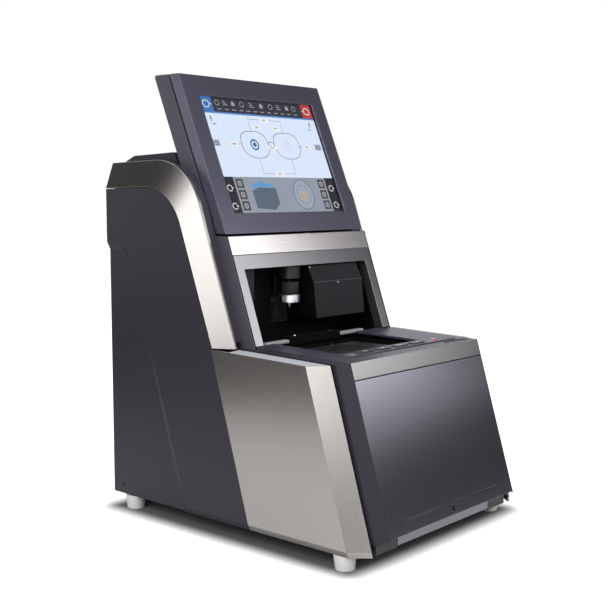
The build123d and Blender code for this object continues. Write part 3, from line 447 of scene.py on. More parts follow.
# Arm and chuck. The arm is a dark anodised beam with a wide round head in front of the cavity's
# back. Under it turn a knurled black barrel and the bright ring that grips the lens block.
CHUCK = Vector((-0.013, 0.0342, 0.0))
HEAD_RADIUS = 0.0142
HEAD_FOOT, HEAD_TOP = 0.2990, 0.3155
BARREL_RADIUS = 0.0122
BARREL_FOOT, BARREL_TOP = 0.2786, 0.2953
SPIGOT_RADIUS = 0.0100
STEM_RADIUS, STEM_TOP = 0.0030, 0.3090
KNURL_CUTS = 46.0
RING_RADIUS, RING_BORE = 0.0136, 0.0050
RING_FOOT, RING_GROOVE, RING_TOP = 0.2684, 0.2720, 0.2785
RING_TAB = ((-0.0294, 0.0310, 0.2692), (-0.0235, 0.0372, 0.2776))
BLOCK_PIN_RADIUS, BLOCK_PIN_FOOT = 0.0016, 0.2612
COLLAR_RADIUS, COLLAR_FOOT, COLLAR_TOP = 0.0048, 0.2677, 0.2734
GRUB_SCREW = [(0.0011, -0.0004), (0.0011, 0.0001), (0.0007, 0.00012), (0.0006, -0.0002)]
GRUB_SCREW_HEIGHT = 0.2704
CREASE = math.radians(38)


def anodised_paint(level, tint):
    """Anodised aluminium, drawn in upright lines."""
    def paint(signal):
        place = machine_place(signal)
        lines = noise(place, 700, stretch=(1, 1, 0.15))
        return {"Base Color": lines.between(shade(level * 0.92, tint), shade(level * 1.05, tint)),
                "Metallic": 0.55, "Roughness": lines * 0.1 + 0.33, "Normal": bump(lines, 0.00002)}
    return paint


def knurled_paint(signal):
    """Black anodised barrel with fine upright cuts round it for the fingers."""
    place = machine_place(signal)
    across = (place.part("X") - CHUCK.x) / (place.part("Y") - CHUCK.y)
    around = across.maths("ARCTANGENT", across, 0.0) * KNURL_CUTS
    cuts = around.maths("PINGPONG", around, 1.0)
    worn = noise(place, 240, 3.0)
    return {"Base Color": worn.between(shade(9), shade(20, (1, 1, 1.1))),
            "Specular IOR Level": 0.25, "Roughness": worn * 0.15 + 0.34,
            "Normal": bump(cuts, 0.00016)}


def lathe(name, rings, centres, material, body, axis=(0, 0, 1), sides=48):
    """Turned pieces, one at each centre: rings are radius and height along the axis, from below."""
    turn = Vector((0, 0, 1)).rotation_difference(Vector(axis)).to_matrix()
    points, faces = [], []
    for centre in centres:
        start = len(points)
        for radius, height in rings:
            for i in range(sides):
                a = math.tau * i / sides
                points.append(Vector(centre) + turn @ Vector((radius * math.cos(a),
                                                              radius * math.sin(a), height)))
        for ring in range(len(rings) - 1):
            for i in range(sides):
                low, high = start + ring * sides, start + (ring + 1) * sides
                j = (i + 1) % sides
                faces.append((low + i, low + j, high + j, high + i))
        faces.append([start + i for i in range(sides)][::-1])
        faces.append([start + (len(rings) - 1) * sides + i for i in range(sides)])
    piece = mesh_piece(name, points, faces)
    piece.data.shade_smooth()
    piece.data.set_sharp_from_angle(angle=CREASE)
    piece.data.materials.append(material)
    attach(piece, body)
    return piece


dark_anodised = finish("dark_anodised", anodised_paint(44, (1.0, 1.0, 0.94)))
bright_ring = finish("bright_ring", turned_metal_paint(
    250, (0.97, 1, 1.05), rough=0.34, relief=0.02))
dark_ring = finish("dark_ring", turned_metal_paint(120, (0.94, 0.98, 1.1), rough=0.3, relief=0.05))
knurled_black = finish("knurled_black", knurled_paint)
dress("arm_beam", dark_anodised, 0.0006)
lathe("arm_head_sleeve", [(HEAD_RADIUS - 0.0008, HEAD_FOOT), (HEAD_RADIUS, HEAD_FOOT + 0.0006),
                          (HEAD_RADIUS, HEAD_TOP - 0.0005), (HEAD_RADIUS - 0.0004, HEAD_TOP)],
      [CHUCK], dark_anodised, "arm")

barrel_rings = [(SPIGOT_RADIUS, BARREL_FOOT), (SPIGOT_RADIUS, BARREL_FOOT + 0.0011),
                (BARREL_RADIUS - 0.0005, BARREL_FOOT + 0.0012),
                (BARREL_RADIUS, BARREL_FOOT + 0.0017), (BARREL_RADIUS, BARREL_TOP - 0.0010),
                (BARREL_RADIUS - 0.0007, BARREL_TOP - 0.0001),
                (BARREL_RADIUS - 0.0020, BARREL_TOP), (BARREL_RADIUS - 0.0020, BARREL_TOP - 0.0003),
                (STEM_RADIUS, BARREL_TOP - 0.0003), (STEM_RADIUS, STEM_TOP)]
holder = lathe("chuck_barrel", barrel_rings, [CHUCK], knurled_black, "chuck",
               sides=64)
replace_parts(holder, "chuck_holder")

grip_rings = [(RING_BORE, RING_FOOT + 0.0051), (RING_BORE, RING_FOOT + 0.0002),
              (RING_RADIUS - 0.0008, RING_FOOT), (RING_RADIUS, RING_FOOT + 0.0007),
              (RING_RADIUS, RING_GROOVE - 0.0004), (RING_RADIUS - 0.0003, RING_GROOVE - 0.0002),
              (RING_RADIUS - 0.0003, RING_GROOVE + 0.0002), (RING_RADIUS, RING_GROOVE + 0.0004),
              (RING_RADIUS, RING_TOP - 0.0006), (RING_RADIUS - 0.0006, RING_TOP)]
ring = lathe("grip_ring", grip_rings, [CHUCK], bright_ring, "chuck", sides=64)
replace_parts(ring, "clamp_ring")
boxes_piece("grip_ring_tab", [RING_TAB], dark_ring, "chuck", 0.0009)

pin_rings = [(BLOCK_PIN_RADIUS - 0.0006, BLOCK_PIN_FOOT),
             (BLOCK_PIN_RADIUS, BLOCK_PIN_FOOT + 0.0008), (BLOCK_PIN_RADIUS, COLLAR_FOOT - 0.0001),
             (COLLAR_RADIUS - 0.0003, COLLAR_FOOT), (COLLAR_RADIUS, COLLAR_FOOT + 0.0003),
             (COLLAR_RADIUS, COLLAR_TOP)]
pin = lathe("block_pin_turned", pin_rings, [CHUCK], bright_ring, "chuck",
            sides=32)
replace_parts(pin, "block_pin")
for turn in (254, 74):
    out = direction(turn, 0)
    seat = CHUCK + out * RING_RADIUS + Vector((0, 0, GRUB_SCREW_HEIGHT))
    lathe("grip_screw_%d" % turn, GRUB_SCREW, [seat], black_plastic, "chuck",
          tuple(out), 16)

# Cavity. A thin black liner, painted far darker than black plastic as painted shade, stands behind
# the tower's opening, with a narrow bulkhead at its left. Pale cross rails lie at its foot with a
# black block between them. At the right a camera looks down at the lens from a folded sheet cover,
# with a painted highlight along its fold and painted shade on its left side.
BULKHEAD = ((-0.1181, 0.0278, 0.2125), (-0.0842, 0.0286, 0.3183))
HOUSING_OUTLINE = [(0.0027, 0.2481), (0.0078, 0.2939), (0.0182, 0.3151), (0.0510, 0.3151),
                   (0.0510, 0.2481)]
HOUSING_X = (0.0045, 0.1030)
HOUSING_SHEET = 0.002
HOUSING_FOLD_HIGHLIGHT = ((0.0047, 0.0072, 0.2935), (0.1028, 0.0080, 0.2942))
LENS_HOLE = Vector((0.0540, 0.0272, 0.2481))
LENS_HOLE_RADIUS = 0.009
LENS_HOLE_SIDES = 28
RAIL_SPANS = [(-0.1070, -0.0634), (0.0340, 0.0830)]
RAIL_Y, RAIL_Z = (-0.0120, -0.0040), (0.2246, 0.2291)
BLOCK_X, BLOCK_Y, BLOCK_Z = (-0.0632, 0.0338), (-0.0120, -0.0001), (0.2221, 0.2321)
RIB_X, RIB_Y = (-0.0600, 0.0306), (-0.0126, -0.0119)
LOW_RIB_Z, HIGH_RIB_Z = (0.2243, 0.2262), (0.2283, 0.2296)
BLOCK_SCREW_Y, BLOCK_SCREW_Z = -0.0060, 0.2320
COVER_SCREW, COVER_FACING = (0.0525, 0.0075, 0.2915), (0, -0.994, 0.11)
BROW_SCREW, BROW_FACING = (0.0070, 0.0172, 0.3131), (0, -0.898, 0.44)

# Black plastic painted far darker than the other black plastics: painted shade for the cavity's
# liner, the block at its foot, the sunk stage tray and the camera cover's left side.
black_painted_shade = finish("black_painted_shade", moulded_paint(6, (1, 1, 1.1), grain=900, rough=0.6, gloss=0.06))
camera_grey = finish("camera_grey", moulded_paint(
    26, (1, 0.93, 1.24), grain=1300, rough=0.45, gloss=0.16))
pale_rail = finish("pale_rail", anodised_paint(170, (1, 0.99, 1.04)))
dress("cavity_liner", black_painted_shade)
bulkhead_black = finish("bulkhead_black", moulded_paint(
    32, (1, 0.98, 1.12), grain=900, rough=0.5, gloss=0.25))
boxes_piece("cavity_bulkhead", [BULKHEAD], bulkhead_black, "cabinet", 0.0003)
dress("camera_unit", black_plastic)


def camera_box():
    """Folded cover: raked face, sloping brow, sides and a floor with the lens hole, open behind."""
    points = [(x, y, z) for x in HOUSING_X for y, z in HOUSING_OUTLINE]
    faces = [(0, 5, 6, 1), (1, 6, 7, 2), (2, 7, 8, 3), (0, 1, 2, 3, 4), (9, 8, 7, 6, 5)]
    piece = mesh_piece("camera_cover", points, faces)
    shape = bmesh.new()
    shape.from_mesh(piece.data)
    shape.verts.ensure_lookup_table()
    corners = [shape.verts[i] for i in (0, 5, 9, 4)]
    rim = []
    for ends in zip(corners, corners[1:] + corners[:1]):
        rim.append(shape.edges.get(ends) or shape.edges.new(ends))
    hole = []
    for i in range(LENS_HOLE_SIDES):
        a = math.tau * i / LENS_HOLE_SIDES
        out = Vector((math.cos(a), math.sin(a), 0)) * LENS_HOLE_RADIUS
        hole.append(shape.verts.new(LENS_HOLE + out))
    rim += [shape.edges.new(ends) for ends in zip(hole, hole[1:] + hole[:1])]
    bmesh.ops.triangle_fill(shape, use_beauty=True, edges=rim)
    bmesh.ops.recalc_face_normals(shape, faces=shape.faces)
    shape.to_mesh(piece.data)
    shape.free()
    piece.data.materials.append(camera_grey)
    piece.data.materials.append(black_painted_shade)
    # The left side face takes the darker black as painted shade; it is the same sheet as the rest
    # of the cover.
    for face in piece.data.polygons:
        if face.center.x < HOUSING_X[0] + 0.0005:
            face.material_index = 1
    wall = piece.modifiers.new("sheet", "SOLIDIFY")
    wall.thickness = HOUSING_SHEET
    wall.offset = -1.0
    ease(piece, 0.0005, sharp=12)
    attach(piece, "cabinet")
    return piece


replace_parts(camera_box(), "camera_housing")
# A pale strip along the cover's fold is a painted highlight where the fold catches the light.
painted_fold_highlight = finish("painted_fold_highlight", moulded_paint(72, (1, 0.95, 1.12), grain=1300, rough=0.4))
boxes_piece("cover_fold_highlight", [HOUSING_FOLD_HIGHLIGHT], painted_fold_highlight, "cabinet")

BUTTON_HEAD = [(0.0026, -0.0006), (0.0026, 0.0002), (0.0023, 0.0009), (0.0016, 0.0013),
               (0.0011, 0.00135), (0.0010, 0.0006), (0.0004, 0.0005)]


def button_heads(name, places, axis, material, body, scale=1.0):
    """Button-head screws: low domes with a sunk socket."""
    rings = [(radius * scale, height * scale) for radius, height in BUTTON_HEAD]
    lathe(name, rings, places, material, body, axis, 20)


button_heads("camera_cover_screw", [COVER_SCREW], COVER_FACING, bare_steel, "cabinet", 0.42)
button_heads("brow_screw", [BROW_SCREW], BROW_FACING, bare_steel, "cabinet", 0.5)
rails = boxes_piece("cross_rail_pair", blocks(RAIL_SPANS, RAIL_Y, RAIL_Z), pale_rail, "cabinet",
                    0.0012)
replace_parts(rails, "cross_rails")
# The block between the rails takes the darker black, painted shade at the cavity's foot.
cross_block = boxes_piece("cross_bar", blocks([BLOCK_X], BLOCK_Y, BLOCK_Z)
                          + blocks([RIB_X], RIB_Y, LOW_RIB_Z)
                          + blocks([RIB_X], RIB_Y, HIGH_RIB_Z),
                          black_painted_shade, "cabinet", 0.0007)
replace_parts(cross_block, "cross_block")
# The right screw is the same steel screw as the left one, given black plastic as painted shade.
for side, x, steel_or_painted_shade in (("left", -0.0480, bare_steel), ("right", 0.0186, black_plastic)):
    button_heads("cross_bar_screw_" + side, [(x, BLOCK_SCREW_Y, BLOCK_SCREW_Z)], (0, 0, 1),
                 steel_or_painted_shade, "cabinet", 0.7)

# Tower. A satin metallic frame surrounds the opening and a brushed steel strip crosses above it;
# a black moulding behind them makes the shoulders and the neck under the display.


def satin_metal_paint(level, tint, metallic=0.6, rough=0.36, grain=1100, contrast=0.09, relief=0.6):
    """Metallic lacquer: fine flakes under a satin coat."""
    def paint(signal):
        place = machine_place(signal)
        flakes = noise(place, grain, 3.0, 0.7)
        cloud = noise(place, 5)
        low = shade(level * (1 - contrast), tint)
        high = shade(level * (1 + contrast), tint)
        return {"Base Color": (flakes * 0.8 + cloud * 0.2).between(low, high),
                "Metallic": metallic,
                "Roughness": flakes * (contrast * 1.2) + (rough - contrast * 0.6),
                "Normal": bump(flakes, 0.00003, relief)}
    return paint


def brushed_paint(level, tint, rough=0.27):
    """Steel brushed along X, with the long fine lines of a belt."""
    def paint(signal):
        place = machine_place(signal)
        lines = noise(place, 1500, 3.0, 0.6, stretch=(0.012, 1, 1))
        return {"Base Color": lines.between(shade(level * 0.93, tint), shade(level * 1.04, tint)),
                "Metallic": 1.0, "Roughness": lines * 0.04 + (rough - 0.02),
                "Normal": bump(lines, 0.00002, 0.15)}
    return paint


charcoal = finish("charcoal_plastic", moulded_paint(
    35, (1, 0.91, 1.28), grain=1300, rough=0.42, gloss=0.2))
tower_lacquer = finish("tower_lacquer", satin_metal_paint(
    119, (1, 0.975, 1.05), metallic=0.87, rough=0.2))
bright_strip = finish("bright_strip", brushed_paint(184, (1, 0.955, 0.96), rough=0.22))
dress("tower_frame", tower_lacquer, 0.0005)
dress("trim_strip", bright_strip, 0.0005)
# The shoulders take a lighter copy of the charcoal plastic: painted light that lifts the shade the
# arch band casts on them.
charcoal_painted_light = finish("charcoal_painted_light", moulded_paint(
    60, (1, 0.92, 1.24), grain=1300, rough=0.42, gloss=0.3))
dress("tower_shell", charcoal_painted_light, 0.0008, steps=3, sharp=20)
dress("top_cover", charcoal, 0.0008, steps=3, sharp=20)
dress("rear_cover", charcoal, 0.0006)

# Side covers. Each is one black moulding inside the silver arch, joggled in round a lower rear
# field and held from the side by a black screw in the field and one in the bevel at its foot.
FIELD_SCREW = (0.1560, 0.1975, 0.0290)
BEVEL_SCREW = (0.1592, 0.0231, 0.0195)
BEVEL_FACING = (0.94, 0, -0.34)


def on_side(right, sign):
    """A point or direction of the right side, mirrored to the left where the sign is -1."""
    return (sign * right[0], right[1], right[2])


for side, sign in (("left", -1), ("right", 1)):
    dress("side_cover_" + side, charcoal, 0.0012, steps=3, sharp=15)
    button_heads("field_screw_" + side, [on_side(FIELD_SCREW, sign)], (sign, 0, 0),
                 black_plastic, "cabinet")
    button_heads("bevel_screw_" + side, [on_side(BEVEL_SCREW, sign)], on_side(BEVEL_FACING, sign),
                 black_plastic, "cabinet")

# Silver bands and side panels. They are moulded shells in a warm metallic paint with a fine grain.
# The arch band slopes in towards the tower, and the panel below it ends in a wide chamfer.
FACET_CUT = (0.128, 0, 0.0352)
FACET_CUT_SLANT = (0.33, 0, 0.944)
champagne = finish("champagne_paint", satin_metal_paint(
    134, (1.0, 0.945, 0.915), metallic=0.95, rough=0.25, grain=1300, contrast=0.13, relief=0.35))


def facet_piece(side, sign):
    """The corner facet as packed, with its foot cut off on a slant at the front panel's foot."""
    node = "corner_post_" + side
    piece = bpy.data.objects.new("corner_facet_" + side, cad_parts[node].data.copy())
    bpy.context.scene.collection.objects.link(piece)
    shape = bmesh.new()
    shape.from_mesh(piece.data)
    bmesh.ops.remove_doubles(shape, verts=shape.verts, dist=WELD_REACH)
    cut = bmesh.ops.bisect_plane(shape, geom=shape.verts[:] + shape.edges[:] + shape.faces[:],
                                 plane_co=on_side(FACET_CUT, sign),
                                 plane_no=on_side(FACET_CUT_SLANT, sign), clear_inner=True)
    open_edges = [e for e in cut["geom_cut"] if isinstance(e, bmesh.types.BMEdge)]
    bmesh.ops.holes_fill(shape, edges=open_edges)
    shape.to_mesh(piece.data)
    shape.free()
    piece.data.materials.clear()
    piece.data.materials.append(charcoal)
    ease(piece, 0.0005)
    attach(piece, "cabinet")
    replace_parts(piece, node)


for side, sign in (("left", -1), ("right", 1)):
    dress("arch_band_" + side, champagne, 0.0008, steps=3, sharp=20)
    dress("front_side_panel_" + side, champagne, 0.0007, steps=3, sharp=20)
    facet_piece(side, sign)

# Front cover. A satin metallic panel with a brushed gunmetal trim over it, both between the black
# corner facets; the drawer sits in a notch at the panel's foot.
front_satin = finish("front_satin", satin_metal_paint(
    119, (1, 0.935, 1.13), metallic=0.92, rough=0.2, grain=1600, contrast=0.05, relief=0.05))
gunmetal = finish("gunmetal_trim", brushed_paint(128, (1, 0.98, 1.0), rough=0.25))
dress("front_panel", front_satin, 0.0005)
dress("front_top_trim", gunmetal, 0.0005)

# Panel top highlights. A thin pale strip on each side panel's top edge, beside the deck, is a
# painted highlight for the light that the panel's top bevel catches. It has a slanted front end,
# and falls outwards and forwards with the panel's top face.
DECK_SLOPE = math.tan(math.radians(1.53))
PANEL_EDGE_X, PANEL_EDGE_Y, PANEL_EDGE_Z = 0.161, -0.1229, 0.2199
PANEL_FALL = 0.0757
HIGHLIGHT_OUTLINE = [(0.1603, -0.0046), (0.1603, -0.1226), (0.1438, -0.1412), (0.1438, -0.0240),
               (0.1450, -0.0046)]
HIGHLIGHT_THICK = 0.00025
PRINT_THICK = 0.00004


def on_panel_top(side):
    """Place for a shape on a side panel's top face, which falls outwards and towards the front."""
    return lambda a, b, rise: Vector((side * a, b, PANEL_EDGE_Z + PANEL_FALL * (PANEL_EDGE_X - a)
                                      + DECK_SLOPE * (b - PANEL_EDGE_Y) + rise))


def flat_print(name, outlines, material, body, place, thick=PRINT_THICK):
    """Thin printed or inlaid shapes. place turns two coordinates and a rise into a point."""
    points, faces = [], []
    for outline in outlines:
        start, count = len(points), len(outline)
        points += [place(a, b, thick) for a, b in outline]
        points += [place(a, b, 0.0) for a, b in outline]
        faces.append([start + i for i in range(count)])
        faces.append([start + count + i for i in reversed(range(count))])
        for i in range(count):
            j = (i + 1) % count
            faces.append((start + i, start + count + i, start + count + j, start + j))
    piece = mesh_piece(name, points, faces)
    piece.data.materials.append(material)
    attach(piece, body)


panel_cap_paint = finish("panel_cap_paint", satin_metal_paint(
    176, (0.95, 0.99, 1.06), metallic=0.15, rough=0.5))
# Each strip is a painted highlight for the light on the side panel's top bevel.
for side, sign in (("left", -1), ("right", 1)):
    flat_print("panel_cap_" + side, [HIGHLIGHT_OUTLINE], panel_cap_paint, "cabinet",
               on_panel_top(sign), HIGHLIGHT_THICK)

# Deck. A dark violet-grey lacquered plate falls a little towards the front. A raised strip on it
# holds four keys with plain printed signs, and a red lamp.
DECK_EDGE_Y, DECK_EDGE_Z = -0.15904, 0.2234
STRIP_TOP, KEY_TOP = 0.0012, 0.0026
KEY_ROW_Y = -0.1288
FIRST_KEY_X, KEY_PITCH = -0.064, 0.034
TICK = 0.0006
deck_lacquer = finish("deck_lacquer", satin_metal_paint(
    90, (1, 0.96, 1.32), metallic=0.9, rough=0.42, grain=1300, contrast=0.06, relief=0.3))
key_plastic = finish("key_plastic", moulded_paint(52, (1, 0.95, 1.2), rough=0.38, gloss=0.4))
print_white = finish("print_white", moulded_paint(200, (1, 1, 1), rough=0.5))
dress("deck_plate", deck_lacquer, 0.0004)
dress("key_panel", key_plastic, 0.0003)


def on_deck(x, y, rise):
    """A point over the deck: across, back, and up from its surface."""
    return Vector((x, y, DECK_EDGE_Z + (y - DECK_EDGE_Y) * DECK_SLOPE + rise))


def key_print(x):
    """Place for a sign on a key's top, in metres from the key's middle."""
    return lambda a, b, rise: on_deck(x + a, KEY_ROW_Y + b, KEY_TOP + rise)


def bar(x0, y0, x1, y1):
    """An upright rectangle between two corners."""
    return [(x0, y0), (x1, y0), (x1, y1), (x0, y1)]


def hoop(x, y, rx, ry, width, start=0, stop=360, count=28):
    """A ring or an arc as a row of four-sided shapes."""
    shapes = []
    for i in range(count):
        a, b = (math.radians(start + (stop - start) * k / count) for k in (i, i + 1))
        shapes.append([(x + (rx - width) * math.cos(a), y + (ry - width) * math.sin(a)),
                       (x + rx * math.cos(a), y + ry * math.sin(a)),
                       (x + rx * math.cos(b), y + ry * math.sin(b)),
                       (x + (rx - width) * math.cos(b), y + (ry - width) * math.sin(b))])
    return shapes


standby_sign = hoop(0, 0, 0.0028, 0.0028, 0.0006) + [bar(-0.0003, 0.0004, 0.0003, 0.0032)]
start_sign = [[(-0.002, -0.0024), (0.0026, 0), (-0.002, 0.0024)]]
pause_sign = [bar(-0.0024, -0.0022, -0.0008, 0.0022), bar(0.0008, -0.0022, 0.0024, 0.0022)]
release_sign = [[(-0.0028, -0.0012), (0.0028, -0.0012), (0, 0.0024)],
                bar(-0.0028, -0.0026, 0.0028, -0.0018)]
for i, sign in enumerate((standby_sign, start_sign, pause_sign, release_sign)):
    key = "key_%d" % (i + 1)
    dress(key, key_plastic, 0.0002)
    flat_print("sign_" + key, sign, print_white, key,
               key_print(FIRST_KEY_X + KEY_PITCH * i))
ticks = [bar(-0.098, y, -0.082, y + TICK) for y in (-0.1340, -0.1300, -0.1260)]
ticks += [bar(x, -0.1320, x + TICK, -0.1280) for x in (0.060, 0.063, 0.066, 0.069)]
flat_print("strip_print", ticks, print_white, "cabinet",
           lambda a, b, rise: on_deck(a, b, STRIP_TOP + rise))


def lamp_paint(signal):
    """Red lamp cap with a faint light behind it."""
    place = machine_place(signal)
    glow = noise(place, 300)
    return {"Base Color": glow.between(shade(200, (1, 0.1, 0.14)), shade(225, (1, 0.16, 0.2))),
            "Roughness": glow * 0.1 + 0.15, "Emission Color": (1.0, 0.05, 0.10, 1),
            "Emission Strength": 0.35}


dress("status_lamp", finish("lamp_red", lamp_paint))

# Lens stage. A black tray sunk in the deck holds the lens table with its dark window and three low
# black pins that the lens lies on. Fine grey scale lines run along its front and round the window.
STAGE = Vector((-0.013, -0.0648, 0.2186))
MARK_PITCH, MARK_HALF, MARK_FOOT = 0.0022, 0.00018, -0.0400
LONG_MARK, SHORT_MARK = 0.0045, 0.0026
stage_black = finish("stage_black", moulded_paint(
    26, (1, 0.96, 1.14), grain=1100, rough=0.4, gloss=0.3))
# The sunk tray takes the darker black, painted shade in its recess.
dress("stage_tray", black_painted_shade, 0.0004)
dress("stage_table", stage_black, 0.0004)
dress("lens_rest_pins", black_plastic)


def dark_window_paint(signal):
    """Frosted black glass."""
    place = machine_place(signal)
    frost = noise(place, 900)
    return {"Base Color": frost.between(shade(12), shade(19, (0.95, 1, 1.1))),
            "Roughness": frost * 0.2 + 0.4, "Specular IOR Level": 0.2}


dress("stage_window", finish("dark_window", dark_window_paint))
scale_marks = []
for i in range(-18, 19):
    middle = MARK_PITCH * i
    top = MARK_FOOT + (LONG_MARK if i % 5 == 0 else SHORT_MARK)
    scale_marks.append(bar(middle - MARK_HALF, MARK_FOOT, middle + MARK_HALF, top))
scale_marks += [bar(-0.0405, -0.0002, -0.0345, 0.0002), bar(0.0345, -0.0002, 0.0405, 0.0002),
                bar(-0.0002, -0.0345, 0.0002, -0.0300), bar(-0.0002, 0.0300, 0.0002, 0.0330)]
print_grey = finish("print_grey", moulded_paint(96, (1, 0.97, 1.12), rough=0.5))
flat_print("stage_scale", scale_marks, print_grey, "cabinet",
           lambda a, b, rise: STAGE + Vector((a, b, rise)))

# Drawer. A shallow tray runs on two steel runners behind a flap, which is painted like the front
# panel. A pale lip shows below the flap, and a black push catch holds the drawer shut.
drawer_lip = finish("drawer_lip", satin_metal_paint(
    104, (1, 0.97, 1.16), metallic=0.5, rough=0.4))
dress("drawer_front", front_satin, 0.0004)
dress("drawer_tray", drawer_lip, 0.0004)
dress("drawer_catch", black_plastic, 0.0003)
dress("drawer_runners", bare_steel)

# Display. A lacquered frame round a touch screen, a rear cover behind a dark groove, and a friction
# hinge on the tower that lets it lie back.
display_lacquer = finish("display_lacquer", satin_metal_paint(
    90, (1, 0.96, 1.34), metallic=0.6, rough=0.26, grain=1200, contrast=0.06, relief=0.3))
dress("display_frame", display_lacquer, 0.0006)
# The display's rear cover takes the same lighter charcoal, painted light.
dress("display_rear_cover", charcoal_painted_light, 0.0008)
for node in ("display_hinge_plate", "hinge_bracket"):
    dress(node, zinc)
dress("hinge_pins", bare_steel)


def touch_glass_paint(signal):
    """Clear touch glass with a few finger smears."""
    place = machine_place(signal)
    smear = noise(place, 14, 3.0)
    return {"Base Color": (0.02, 0.02, 0.025, 1), "Roughness": smear * 0.1 + 0.12,
            "Specular IOR Level": 0.3, "Alpha": 0.05}


def lit_paint(level, tint):
    """A lit patch of the screen: fine pixel rows over its own colour."""
    def paint(signal):
        place = machine_place(signal)
        rows = noise(place, 2600, 1.0)
        return {"Base Color": (0.01, 0.01, 0.012, 1), "Roughness": 0.3, "Specular IOR Level": 0.2,
                "Emission Color": rows.between(shade(level * 0.97, tint), shade(level, tint)),
                "Emission Strength": 1.0}
    return paint


dress("touch_panel", finish("touch_glass", touch_glass_paint))
dress("lcd_panel", zinc)

# Screen picture. A generic work page for laying out a pair of lenses: a dark status bar with a
# blue and a red eye tab, a pale drawing area, and a grey tool band. It lies just under the glass.
# Its layers are thin lit sheets, and their shapes are in millimetres on the screen.
LEAN = math.radians(22.7)
DISPLAY_FOOT_Y, DISPLAY_FOOT_Z = 28.6, 358.5
SCREEN_FOOT_Z = 383.1
SCREEN_DEPTH, LAYER_STEP = 5.09, 0.018
LAYER_THICK = 0.000004
SCREEN_SIDE, SCREEN_TOP = 105.6, 156.7
STATUS_FOOT = 136.0
TAB_FOOT, TAB_TOP = 136.4, 156.3
TOOL_LEFT, TOOL_RIGHT, TOOL_TOP = -86, 88, 48.0
RIGHT_EYE, LEFT_EYE, EYE_V = -27.0, 34.0, 93.0
LENS_RX, LENS_RV = 25, 19
GAUGE_X, GAUGE_V = 37, 24


def on_screen(depth):
    """Place for a shape, in millimetres across from the screen's middle and up from its foot."""
    def place(a, b, rise):
        height = SCREEN_FOOT_Z + b * math.cos(LEAN)
        back = DISPLAY_FOOT_Y + (height - DISPLAY_FOOT_Z) * math.tan(LEAN) + depth
        return Vector((a, back, height)) / 1000 + Vector((0, -1, 0)) * rise
    return place


def screen_layer(name, shapes, level, tint, layer):
    """Lit shapes of one colour. A higher layer lies over a lower one."""
    flat_print(name, shapes, finish(name, lit_paint(level, tint)), "display",
               on_screen(SCREEN_DEPTH - LAYER_STEP * layer), LAYER_THICK)


def disc(x, y, rx, ry, count=24):
    """A full round or oval shape."""
    return [(x + rx * math.cos(math.tau * i / count), y + ry * math.sin(math.tau * i / count))
            for i in range(count)]


def stroke(x0, y0, x1, y1, width):
    """A straight line of its own width between two points."""
    length = math.hypot(x1 - x0, y1 - y0)
    sx, sy = -(y1 - y0) / length * width / 2, (x1 - x0) / length * width / 2
    return [(x0 - sx, y0 - sy), (x1 - sx, y1 - sy), (x1 + sx, y1 + sy), (x0 + sx, y0 + sy)]


def lens_outline(x, v, rx, rv, width):
    """Rounded lens shape, squarer above than below, as a closed line."""
    shapes, edge = [], []
    for i in range(41):
        a = math.tau * i / 40
        c, s = math.cos(a), math.sin(a)
        power = 0.72 if s > 0 else 0.86
        edge.append((math.copysign(abs(c) ** power, c), math.copysign(abs(s) ** power, s)))
    for (ax, ay), (bx, by) in zip(edge, edge[1:]):
        shapes.append([(x + (rx - width) * ax, v + (rv - width) * ay), (x + rx * ax, v + rv * ay),
                       (x + rx * bx, v + rv * by), (x + (rx - width) * bx, v + (rv - width) * by)])
    return shapes


screen_layer("page", [bar(-SCREEN_SIDE, 0, SCREEN_SIDE, SCREEN_TOP)], 248, (0.84, 0.95, 1.16), 0.5)
screen_layer("status_bar", [bar(-SCREEN_SIDE, STATUS_FOOT, SCREEN_SIDE, SCREEN_TOP)], 52,
             (1, 0.98, 1.3), 1)
screen_layer("page_line", [bar(-SCREEN_SIDE, STATUS_FOOT - 2.2, SCREEN_SIDE, STATUS_FOOT)], 150,
             (0.3, 0.9, 2.2), 1)
screen_layer("tool_band", [bar(TOOL_LEFT, 0, TOOL_RIGHT, TOOL_TOP)], 160, (0.90, 1, 1.2), 1)
tool_corners = [bar(-SCREEN_SIDE, 0, TOOL_LEFT, TOOL_TOP),
                bar(TOOL_RIGHT, 0, SCREEN_SIDE, TOOL_TOP)]
screen_layer("tool_corners", tool_corners, 34, (1, 1, 1.15), 1)
screen_layer("eye_tab_right", [bar(-105.2, TAB_FOOT, -83, TAB_TOP)], 128, (0.25, 0.9, 2.4), 2)
screen_layer("eye_tab_left", [bar(85, TAB_FOOT, 105.2, TAB_TOP)], 186, (1.1, 0.10, 0.12), 2)
tab_signs = hoop(-94, 146.4, 6.2, 5.4, 1.3) + hoop(95, 146.4, 6.2, 5.4, 1.3)
tab_signs += [bar(-87.9, 145.8, -85.2, 147.0), bar(85.9, 145.8, 88.8, 147.0)]
screen_layer("eye_tab_signs", tab_signs, 235, (1, 1, 1), 3)

status_signs = []
for i, x in enumerate((-74, -60, -46, -30, -12, 6, 24, 40, 56, 70)):
    if i % 3 == 0:
        status_signs += hoop(x, 149, 4.0, 4.0, 0.9)
    elif i % 3 == 1:
        for k in range(3):
            status_signs += [bar(x - 4, 146 + 2.6 * k, x + 4 - 2 * k, 147.1 + 2.6 * k)]
    else:
        status_signs += [[(x - 3, 146), (x + 3, 146), (x + 3, 150), (x, 153), (x - 3, 150)]]
status_signs += [bar(x, 139.6, x + 7, 140.8) for x in range(-76, 74, 13)]
screen_layer("status_signs", status_signs, 170, (0.94, 1, 1.14), 2)

